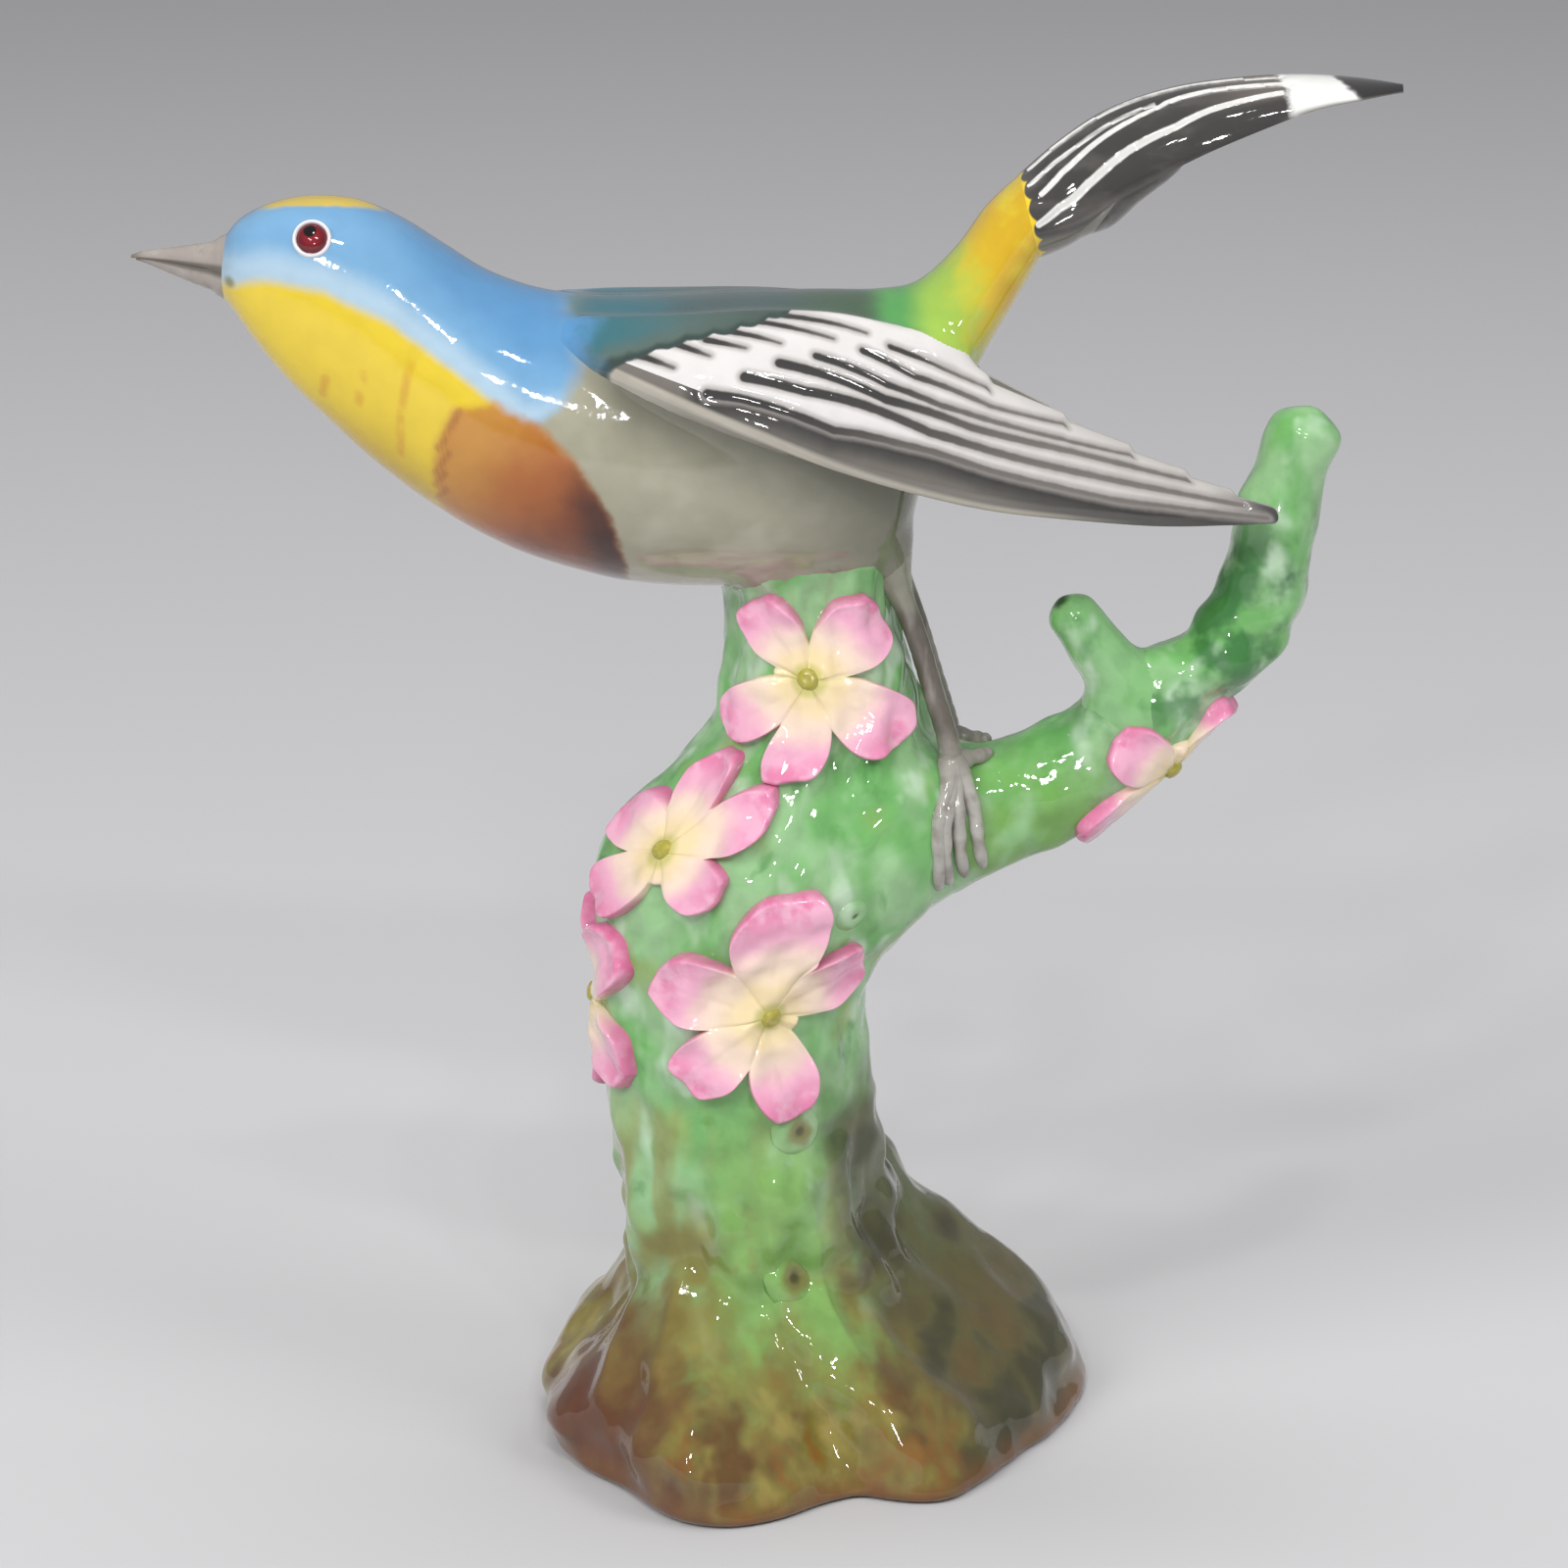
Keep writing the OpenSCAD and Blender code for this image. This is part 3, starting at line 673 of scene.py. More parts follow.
def make_stump():
    heights = np.arange(0, STUMP_TOP + STUMP_STEP / 2, STUMP_STEP)
    angle, z = np.meshgrid(np.arange(STUMP_COLUMNS) * 360 / STUMP_COLUMNS, heights)
    rounding = BOTTOM_ROUND * (1 - np.sqrt(np.clip(1 - (1 - z / BOTTOM_ROUND) ** 2, 0, 1)))
    skin = Skin(on_stump(angle, z, -np.where(z < BOTTOM_ROUND, rounding, 0)))
    fine = lumps(skin.points, 3.0, 5.1) * 0.14
    skin.lift(fine * ease(skin.points[:, 2] / 3))
    skin.note(**zones(angle))
    return skin


# Section through a knot: distance from its middle and height over the bark, in radii
KNOT_PROFILE = [
    (1.5, -0.5),
    (1.4, -0.25),
    (1.2, -0.03),
    (1.0, 0.14),
    (0.8, 0.22),
    (0.6, 0.2),
    (0.42, 0.12),
    (0.25, 0.08),
    (0.05, 0.07),
]
KNOT_COLUMNS = 48


def make_knots():
    """Each knot is a low round boss with a pit in its middle."""
    skins = []
    for direction, z, radius, brown in KNOTS:
        up = unit(on_stump(direction, z + 2) - on_stump(direction, z - 2))
        side = unit(on_stump(direction + 4, z) - on_stump(direction - 4, z))
        wobble = 1 + 0.04 * np.sin(2 * once_round(KNOT_COLUMNS)[:, None] + direction)
        axes = (side, up, np.cross(side, up))
        place = on_stump(direction, z)
        skin, away, _ = turned(KNOT_PROFILE, 4, KNOT_COLUMNS, radius, place, axes, wobble)
        skin.note(pit=1 - away / radius, brown=brown, **zones(direction))
        skins.append(skin)
    return skins


# ---- Branch, legs and other swept pieces ----


def frame_along(path, t):
    """Centre, radius and two cross directions of a path at row numbers t."""
    path = np.asarray(path, float)
    last = len(path) - 1
    here = rows_at(path, t)
    ahead = rows_at(path, np.minimum(t + 0.05, last)) - rows_at(path, np.maximum(t - 0.05, 0))
    along = unit(ahead[..., :3])
    side = unit(np.cross([0, 1, 0.001], along))
    return here[..., :3], here[..., 3], side, np.cross(along, side)


def swept(path, columns, per_row, round_end=0.0):
    """Skin along a path. round_end closes the far end over that many millimetres."""
    t = steps(path, per_row)
    centre, radius, side, other = frame_along(path, t)
    if round_end:
        length = np.concatenate([[0], np.cumsum(np.linalg.norm(np.diff(centre, axis=0), axis=1))])
        left = np.clip((length[-1] - length) / round_end, 0, 1)
        radius = radius * np.maximum(np.sqrt(1 - (1 - left) ** 2), 0.06)
    a = once_round(columns)[None, :, None]
    ring = np.cos(a) * side[:, None] + np.sin(a) * other[:, None]
    skin = Skin(centre[:, None] + ring * radius[:, None, None])
    skin.note(along=t[:, None] / (len(path) - 1))
    return skin


def on_branch(t, angle, out):
    """Points at rows and angles of the branch, standing out from its skin."""
    centre, radius, under, other = frame_along(BRANCH, t)
    r = np.radians(angle)[..., None]
    return centre + (under * np.cos(r) + other * np.sin(r)) * (radius + out)[..., None]


# Height of the branch's elbow, and the height from which and over which its bumps fade
ELBOW_Z = 107
SMOOTH_FROM, SMOOTH_OVER = 128, 8
# Edge of the twig's dark cut end, which is painted on its left
CUT_X = 32.4


def make_branch():
    skin = swept(BRANCH, 120, 16, round_end=3.0)
    bumps = lumps(skin.points, 7.0, 2.9) * 0.9 + lumps(skin.points, 3.4, 4.4) * 0.28
    z = skin.points[:, 2]
    bumps *= 1 - ease((z - SMOOTH_FROM) / SMOOTH_OVER)
    elbow = np.exp(-(((z - ELBOW_Z) / 7) ** 2))
    skin.lift(bumps + elbow * lumps(skin.points, 4.2, 9.4) * 0.9)
    return skin


def make_twig():
    skin = swept(TWIG, 64, 20, round_end=2.6)
    skin.fields["left"] = (CUT_X - skin.points[:, 0]) / 2.5
    skin.lift(lumps(skin.points, 5.0, 6.1) * 0.3)
    return skin


def make_leg(side):
    path = [(x, side * y, z, LEG_R) for x, y, z in LEG]
    skin = swept(path, 32, 16)
    t = skin.fields["along"] * (len(LEG) - 1)
    scutes = np.abs(np.sin(math.pi * 3.2 * t)) ** 0.5 - 0.6
    slimmer = 0.25 * ease((t - 0.6) / 1.5) * (1 - ease((t - 3.6) / 1.2))
    skin.lift(0.06 * scutes * ease((t - 1.6) / 0.8) - slimmer)
    return skin


# Share of its radius by which a toe's middle stands over the branch, and the radius it loses in each row
TOE_SHOWN = 0.35
TOE_TAPER = 0.10
# Radius of the round ankle over the leg's
ANKLE_OVER = 0.45


def resting(point, hosts, radius):
    """The point moved out, if need be, so that a toe of that radius lies on the hosts' skins."""
    point = Vector(point)
    for host in hosts:
        place, normal, _, _ = host.tree.find_nearest(point)
        height = (point - place).dot(normal)
        if height < radius * TOE_SHOWN:
            point = point + normal * (radius * TOE_SHOWN - height)
    return tuple(point)


def make_toes(side, hosts):
    skins = []
    for toe in TOES:
        path = []
        for i, (x, y, z) in enumerate(toe):
            radius = TOE_R - TOE_TAPER * i
            place = (x, side * y, z) if i == 0 else resting((x, side * y, z), hosts, radius)
            path.append((*place, radius))
        skin = swept(path, 28, 16, round_end=1.8)
        t = skin.fields["along"] * (len(toe) - 1)
        knuckles = 0.07 * np.cos(2 * math.pi * 1.2 * t)
        skin.lift(knuckles * ease(t / 0.5) * (1 - ease((t - len(toe) + 1.6) / 0.4)))
        skins.append(skin)
    x, y, z = LEG[-1]
    radius = LEG_R + ANKLE_OVER
    turn = np.linspace(0.02, math.pi - 0.02, 25)[:, None]
    a = once_round(36)
    ball = np.stack([np.sin(turn) * np.cos(a), np.sin(turn) * np.sin(a), np.cos(turn) + 0 * a], -1)
    ankle = Skin(np.array([x, side * y, z]) + radius * ball)
    ankle.note(along=0.0)
    for skin in skins:
        skin.blend_into(ankle, 1.4)
    for skin in skins:
        skin.settle()
    return skins + [ankle]


# ---- Bird ----

BIRD_COLUMNS = 180
BIRD_PER_ROW = 14


def make_bird():
    t = np.append(np.linspace(0, TAIL_ROW, TAIL_ROW * BIRD_PER_ROW + 1), TAIL_ROW)
    a = once_round(BIRD_COLUMNS)
    s = rows_at(BIRD, t)
    up = np.stack([s[:, 0], 0 * t, s[:, 1]], -1)
    low = np.stack([s[:, 2], 0 * t, s[:, 3]], -1)
    power = (2 / s[:, 5])[:, None]
    c = np.sign(np.cos(a)) * np.abs(np.cos(a)) ** power
    q = np.sign(np.sin(a)) * np.abs(np.sin(a)) ** power
    rings = ((up + low) / 2)[:, None] + ((up - low) / 2)[:, None] * c[..., None]
    rings[..., 1] -= (s[:, 4] * BODY_HALF_W)[:, None] * q
    rings[-1] = tucked(rings[-2], rings[-3])
    skin = Skin(rings)
    skin.lift(lumps(skin.points, 9.0, 7.7) * 0.12)
    skin.note(station=t[:, None])
    paint_bird(skin)
    return skin


def nearest(x, z, lines):
    """Distance to the nearest of several painted lines, FAR where none is near."""
    away = np.full(x.shape, FAR)
    for line in lines:
        away = np.minimum(away, line_distance(x, z, line)[0])
    return away


def breast_strokes():
    """Short slanting strokes along the front of the breast patch."""
    corners = np.linspace(0, 1, len(BREAST_FRONT))
    strokes = []
    for k in range(BREAST_STROKES):
        x, z = (np.interp((k + 0.5) / BREAST_STROKES, corners, side) for side in zip(*BREAST_FRONT))
        reach = 0.75 + 0.35 * math.sin(2.4 * k)
        strokes.append([(x - 0.3, z - 1.3 * reach), (x + 1.5 * reach, z + 1.5 * reach)])
    return strokes


def paint_bird(skin):
    """Keeps the fields that plumage_paint reads: how far each point lies past the painted edges."""
    x, y, z = skin.points.T
    skin.fields.update(
        over_throat=(z - curve(THROAT_EDGE, x)) * 0.8,
        behind_neck=x - curve(NECK_EDGE, z),
        breast=outline_distance(x, z, BREAST),
        russet=((x + 46) * 0.80 + (137 - z) * 0.60) / 27,
        bars=nearest(x, z, THROAT_BARS),
        dashes=nearest(x, z, breast_strokes()),
        crown=1 - np.hypot((x + 61.5) / 8.6, y / 4.0) - 4 * (z < 155),
        upper=z - curve(BACK_EDGE, x),
        throat_end=x + 40.0 - 0.5 * (z - 139),
        gape=np.hypot(x + 72.4, z - 154.4),
        under_wing=(curve(WING_LOW, x) - z) / 9,
        along_wing=np.minimum((x + 31) / 9, (18 - x) / 8),
    )


def half_round(table, columns, per_row):
    """Skin of a mandible: a half round over a nearly flat mouth face."""
    t = steps(table, per_row)
    s = rows_at(table, t)
    a = once_round(columns)
    dome = np.where(np.sin(a) > 0, np.maximum(np.sin(a), 0) ** 0.9, 0.10 * np.sin(a))
    height = s[:, 1:2] + s[:, 2:3] * (dome + 0.03)
    skin = Skin(np.stack([s[:, 0:1] + 0 * a, s[:, 3:4] * np.cos(a), height], -1))
    skin.note(along=t[:, None] / t[-1], mouth=dome)
    return skin


# Eye bead, outwards from its rim: radius, height, both over the eye's radius
EYE_PROFILE = [
    (1.06, -0.5),
    (1.03, -0.02),
    (0.98, 0.13),
    (0.90, 0.17),
    (0.84, 0.13),
    (0.80, 0.07),
    (0.76, 0.10),
    (0.62, 0.25),
    (0.42, 0.35),
    (0.2, 0.40),
    (0.02, 0.41),
]


def make_eye(side, head):
    place, normal, _, _ = head.tree.find_nearest(Vector((EYE_AT[0], side * EYE_AT[1], EYE_AT[2])))
    place = np.array(place)
    out = unit(np.array(normal) + np.array([0, 0.3 * side, 0]))
    up = unit(np.array([0, 0, 1]) - out * out[2])
    along = np.cross(up, out)
    skin, _, _ = turned(EYE_PROFILE, 6, 64, EYE_R, place, (along, up, out))
    offset = skin.points - place
    forward = along * (-1 if along[0] > 0 else 1)
    skin.fields["from_centre"] = np.hypot(offset @ along, offset @ up) / EYE_R
    skin.fields["from_pupil"] = np.hypot(offset @ forward - 0.2, offset @ up - 0.8) / EYE_R
    return skin


# ---- Wings and tail ----

WING_PER_ROW = 34
WING_END = len(WING) - 1
# Columns over the wing's outer and inner face
WING_OUTER, WING_INNER = 130, 40
# Rows over which the wing's end is rounded, and how fast a feather's step fades down the wing
WING_BLUNT = 0.22
STEP_FADE = 3.2
# Brushed lines: corners, half width, its share at the start and how much is lost, fading at the end
BRUSHED = [(line, half, (1.3, 0.75), 1.0) for line, half in WING_GROOVES]
BRUSHED += [(line, WING_STROKE, (1.2, 0.7), 0.6) for line in WING_STROKES]
# Depths of the grooves pressed in under long and short brushed lines, and of the steps in the tail
GROOVE, SHORT_GROOVE = 0.34, 0.14
TAIL_STEP = 0.34


def wing_place(t, share):
    """Flat millimetre coordinates on the wing: distance along it and distance down from its upper edge."""
    s = rows_at(WING, t)
    chord = np.linalg.norm(s[..., :3] - s[..., 3:6], axis=-1)
    middle = (s[..., 0] + s[..., 3]) / 2
    drop = (s[..., 2] + s[..., 5]) / 2
    along = (middle - WING_PIVOT[0]) * WING_COURSE[0] - (drop - WING_PIVOT[1]) * WING_COURSE[1]
    return along, share * chord


def placed_line(line):
    return [tuple(float(v) for v in wing_place(np.array(t), w)) for t, w in line]


def feather_notch(t):
    """How far the wing's upper edge steps back just past each feather's tip."""
    notch = np.zeros_like(t)
    for tip, after in zip(FEATHER_TIPS, (*FEATHER_TIPS[1:], WING_END)):
        inside = (t > tip - 0.05) & (t < after - 0.05)
        fade = (1 - (t - tip) / (after - tip)) * ease((t - tip + 0.05) / 0.1)
        notch = np.where(inside, fade, notch)
    return FEATHER_STEP * np.clip(notch, 0, 1)


def make_wing():
    """The left wing, before it is grown into the body."""
    t = steps(WING, WING_PER_ROW)[:, None]
    s = rows_at(WING, t[:, 0])
    up, low = s[:, :3], s[:, 3:6]
    half = (up - low) / 2
    out = unit(np.cross([1, 0, 0], half))
    outside = np.linspace(0, math.pi, WING_OUTER + 1)[:-1]
    inside = np.linspace(math.pi, 2 * math.pi, WING_INNER + 1)[:-1]
    f = np.concatenate([outside, inside])
    share = (1 - np.cos(f)) / 2 + 0 * t
    t_grid = t + 0 * share
    notch = feather_notch(t_grid) * np.clip(1 - share * STEP_FADE, 0, 1) ** 1.5
    lengthwise = np.linalg.norm(half, axis=1)[:, None]
    last = np.clip((WING_END - t) / WING_BLUNT, 0, 1)
    blunt = np.maximum(np.sqrt(1 - (1 - last) ** 2), 0.08)
    swell = np.where(np.sin(f) > 0, s[:, 6:7], s[:, 7:8]) * blunt
    reach = np.cos(f) - notch / np.maximum(lengthwise, 0.6)
    rings = ((up + low) / 2)[:, None] + (half * blunt)[:, None] * reach[..., None]
    skin = Skin(rings + out[:, None] * (np.sin(f) * swell)[..., None])
    paint_wing(skin, t_grid, share, (np.sin(f) > -0.02) + 0 * t)
    return skin


def paint_wing(skin, t, share, outer):
    """Keeps the fields of the wing's brushed lines, and presses the grooves in under them."""
    along, down = wing_place(t, share)
    ink, fade = np.full(t.shape, FAR), np.zeros(t.shape)
    groove = np.zeros(t.shape)
    for line, half, (start, taper), faded in BRUSHED:
        away, part = line_distance(along, down, placed_line(line))
        width = half * (start - taper * part)
        fade = np.where(away - width < ink, faded * part, fade)
        ink = np.minimum(ink, away - width)
        if line in WING_STROKES:
            pressed = SHORT_GROOVE * np.exp(-((away / 0.5) ** 2))
        else:
            pressed = GROOVE * (1 - 0.35 * part) * np.exp(-((away / (width * 1.5 + 0.12)) ** 2))
        groove = np.maximum(groove, pressed)
    lead = WING_GROOVES[0][0]
    leading = line_distance(along, down, placed_line(lead))[0]
    chord = wing_place(t, np.ones_like(t))[1]
    scallop = 0.045 * np.abs(np.sin(t * 9.5))
    skin.note(
        ink=np.where(outer, ink, FAR),
        fade=fade,
        below_lead=np.where(share > curve(lead, t), leading, -leading),
        cap=(curve(CAP_EDGE, t) + scallop - share) * chord,
        row=t,
        share=share,
        inner=np.where(outer, -1.0, 1.0),
    )
    skin.lift(-with_ends(np.where(outer, groove, 0.0)))


def mirrored(skin, pitch):
    """The same skin on the bird's other side, its tip pitched down about the wing's root."""
    points = skin.points * np.array([1, -1, 1])
    dx, dz = points[:, 0] - WING_PIVOT[0], points[:, 2] - WING_PIVOT[1]
    points[:, 0] = WING_PIVOT[0] + dx * math.cos(pitch) + dz * math.sin(pitch)
    points[:, 2] = WING_PIVOT[1] - dx * math.sin(pitch) + dz * math.cos(pitch)
    other = Skin(points[:-2].reshape(skin.rows, skin.columns, 3))
    other.fields = dict(skin.fields)
    return other


TAIL_PER_ROW = 30
TAIL_COLUMNS = 160
TAIL_ROW_LENGTH = 8.2


def make_tail():
    t = np.append(0.0, steps(TAIL, TAIL_PER_ROW))
    s = rows_at(TAIL, t)
    a = once_round(TAIL_COLUMNS)
    edge = np.stack([s[:, 2], 0 * t, s[:, 3]], -1)
    rise = np.stack([s[:, 0], 0 * t, s[:, 1]], -1) - edge
    tall = np.linalg.norm(rise, axis=1)[:, None]
    c = np.cos(a)
    lift = np.where(c > 0, tall * c, -s[:, 5:6] * c)
    rings = edge[:, None] + unit(rise)[:, None] * lift[..., None]
    rings[..., 1] -= s[:, 4:5] * np.sin(a)
    rings[0] = tucked(rings[1], rings[2])
    skin = Skin(rings)
    t = t[:, None] + 0 * c
    degrees = np.abs((np.degrees(a) + 180) % 360 - 180) + 0 * t
    around = degrees * (np.maximum(s[:, 4:5], 2.0) * math.pi / 180)
    white = np.full(t.shape, FAR)
    step = np.zeros(t.shape)
    for line, half in TAIL_LINES:
        placed = []
        for row, angle in line:
            width = max(float(rows_at(TAIL, row)[4]), 2.0)
            placed.append((row * TAIL_ROW_LENGTH, angle * width * math.pi / 180))
        away, part = line_distance(t * TAIL_ROW_LENGTH, around, placed)
        white = np.minimum(white, away - half * (1.1 - 0.45 * part))
        near = np.exp(-((away / 0.9) ** 2)) * ease((t - line[0][0] + 0.2) / 0.4)
        step += near * np.where(degrees > curve(line, t), -TAIL_STEP, 0.0)
    skin.note(white=white, row=t, around=degrees)
    skin.lift(with_ends(step))
    return skin


def make_undertail():
    t = steps(UNDERTAIL, 16)
    s = rows_at(UNDERTAIL, t)
    a = once_round(64)
    x = s[:, 0:1] - s[:, 2:3] * np.cos(a) / 2
    z = s[:, 1:2] + s[:, 2:3] * np.cos(a)
    skin = Skin(np.stack([x, -s[:, 3:4] * np.sin(a), z], -1))
    skin.note(row=t[:, None])
    return skin


# ---- Blossoms ----


def on_host(site, x, y, out):
    """Point x along and y across a blossom's host from its place, standing out from its skin."""
    host, (first, second), _, _ = site
    if host == "stump":
        radius = stump_radius(np.array(float(first)), np.array(float(second)))
        return on_stump(first + np.degrees(x / radius), second + y, out)
    return on_branch(first + x / BRANCH_ROW_LENGTH, second - np.degrees(y / BRANCH_R), out)


# Petals: share of the angle to the next one and widest half angle that each may take, and bluntness
PETAL_OVERLAP = 0.57
PETAL_SPREAD = 40.0
PETAL_BLUNTNESS = 3.0
# Radius where they are all one, height of the pad, width of its round rim, depth under the host's skin
BLOSSOM_HUB = 4.4
PETAL_PAD = 1.15
PETAL_RIM = 0.95
PETAL_SUNK = 1.6
BLOSSOM_COLUMNS = 360


def petal_reach(site, theta):
    """For each direction theta, the outline's reach, and its petal's nearness, length and angle away."""
    _, _, directions, lengths = site
    order = np.argsort(directions)
    middles, sizes = np.array(directions, float)[order], np.array(lengths)[order]
    reach = np.full(theta.shape, BLOSSOM_HUB)
    lobe, length, turn = np.zeros(theta.shape), np.full(theta.shape, sizes.mean()), np.zeros(theta.shape)
    for k, middle in enumerate(middles):
        away = (theta - middle + 540) % 360 - 180
        before = (middle - middles[k - 1]) % 360
        after = (middles[(k + 1) % len(middles)] - middle) % 360
        half = np.minimum(np.where(away > 0, after, before) * PETAL_OVERLAP, PETAL_SPREAD)
        shape = np.exp(-((np.abs(away) / half) ** PETAL_BLUNTNESS))
        nearest = shape > lobe
        reach = np.where(shape * sizes[k] > reach, shape * sizes[k], reach)
        lobe = np.where(nearest, shape, lobe)
        length = np.where(nearest, sizes[k], length)
        turn = np.where(nearest, away, turn)
    return reach, lobe, length, turn


def make_petals(site, seed):
    """All five petals as one padded sheet on the host, with a round rim and creases between petals."""
    theta = np.degrees(once_round(BLOSSOM_COLUMNS))
    reach, lobe, length, turn = petal_reach(site, theta)
    r = np.radians(theta)
    ragged = 0.022 * np.sin(9 * r + seed) + 0.016 * np.sin(17 * r + 2 * seed)
    reach = np.minimum(reach * (1 + ragged * (lobe > 0.5)), length)
    flat = np.linspace(0.03, 1, 44)[:, None] * (reach - PETAL_RIM)
    bend = np.linspace(0, math.pi / 2, 9)[1:, None]
    round_rim = reach - PETAL_RIM + PETAL_RIM * np.sin(bend)
    below = np.array([1.0, 0.6, 0.1])[:, None] * reach
    radius = np.vstack([flat, round_rim, below])
    share = radius / length
    sideways = radius * np.abs(np.radians(turn))
    # Pad height over the skin: spoon-shaped petals, a faint midrib, and creases where two petals meet
    spoon = 0.65 * share**2 + 0.75 * share * (sideways / 3.2) ** 2
    crease = 0.42 * np.exp(-(((lobe - 0.4) / 0.22) ** 2)) * ease(radius / 3.0) * ease((0.8 - share) / 0.3)
    midrib = 0.07 * np.exp(-((sideways / 0.5) ** 2)) * ease(share / 0.4)
    x, y = radius * np.cos(r), radius * np.sin(r)
    wrinkle = lumps(np.stack([x, y, 0 * x + 7 * seed], -1), 2.4, 0.7 + seed) * 0.34 * ease(share / 0.5)
    pad = PETAL_PAD + spoon - crease - midrib + wrinkle
    fall = np.vstack([0 * flat + 1, np.cos(bend) + 0 * reach, 0 * below])
    sunk = np.vstack([0 * flat, 0 * round_rim, np.array([0.4, 1, 1])[:, None] * PETAL_SUNK + 0 * below])
    skin = Skin(on_host(site, x, y, pad * fall - sunk))
    skin.note(share=share, out=radius, rim=1 - (reach - radius) / 2.2, crease=crease)
    return skin


# Section through a pellet: distance from its middle and height, in radii
PELLET_PROFILE = [
    (0.9, -0.8),
    (1.0, -0.1),
    (0.93, 0.42),
    (0.72, 0.74),
    (0.46, 0.86),
    (0.24, 0.82),
    (0.03, 0.78),
]
# How far a pellet's middle stands out from the host's skin
PELLET_OUT = 0.55


def make_pellet(site):
    """Round pellet with a shallow dimple, pressed on at the blossom's middle."""
    zero = np.array(0.0)
    place = on_host(site, zero, zero, PELLET_OUT)
    ahead = unit(on_host(site, zero + 1, zero, PELLET_OUT) - place)
    across = unit(on_host(site, zero, zero + 1, PELLET_OUT) - place)
    out = unit(np.cross(ahead, across))
    out *= np.sign(np.dot(out, on_host(site, zero, zero, 3.0) - place))
    skin, _, height = turned(PELLET_PROFILE, 5, 40, PELLET_R * 0.9, place, (ahead, across, out))
    skin.note(height=height / PELLET_R)
    skin.lift(lumps(skin.points, 0.8, 2.2) * 0.05)
    return skin


# ---- Painting and glaze ----


def srgb(r, g, b):
    """Linear colour from display values of 0 to 255."""
    linear = [((c / 255 + 0.055) / 1.055) ** 2.4 if c > 10 else c / 255 / 12.92 for c in (r, g, b)]
    return (*linear, 1.0)


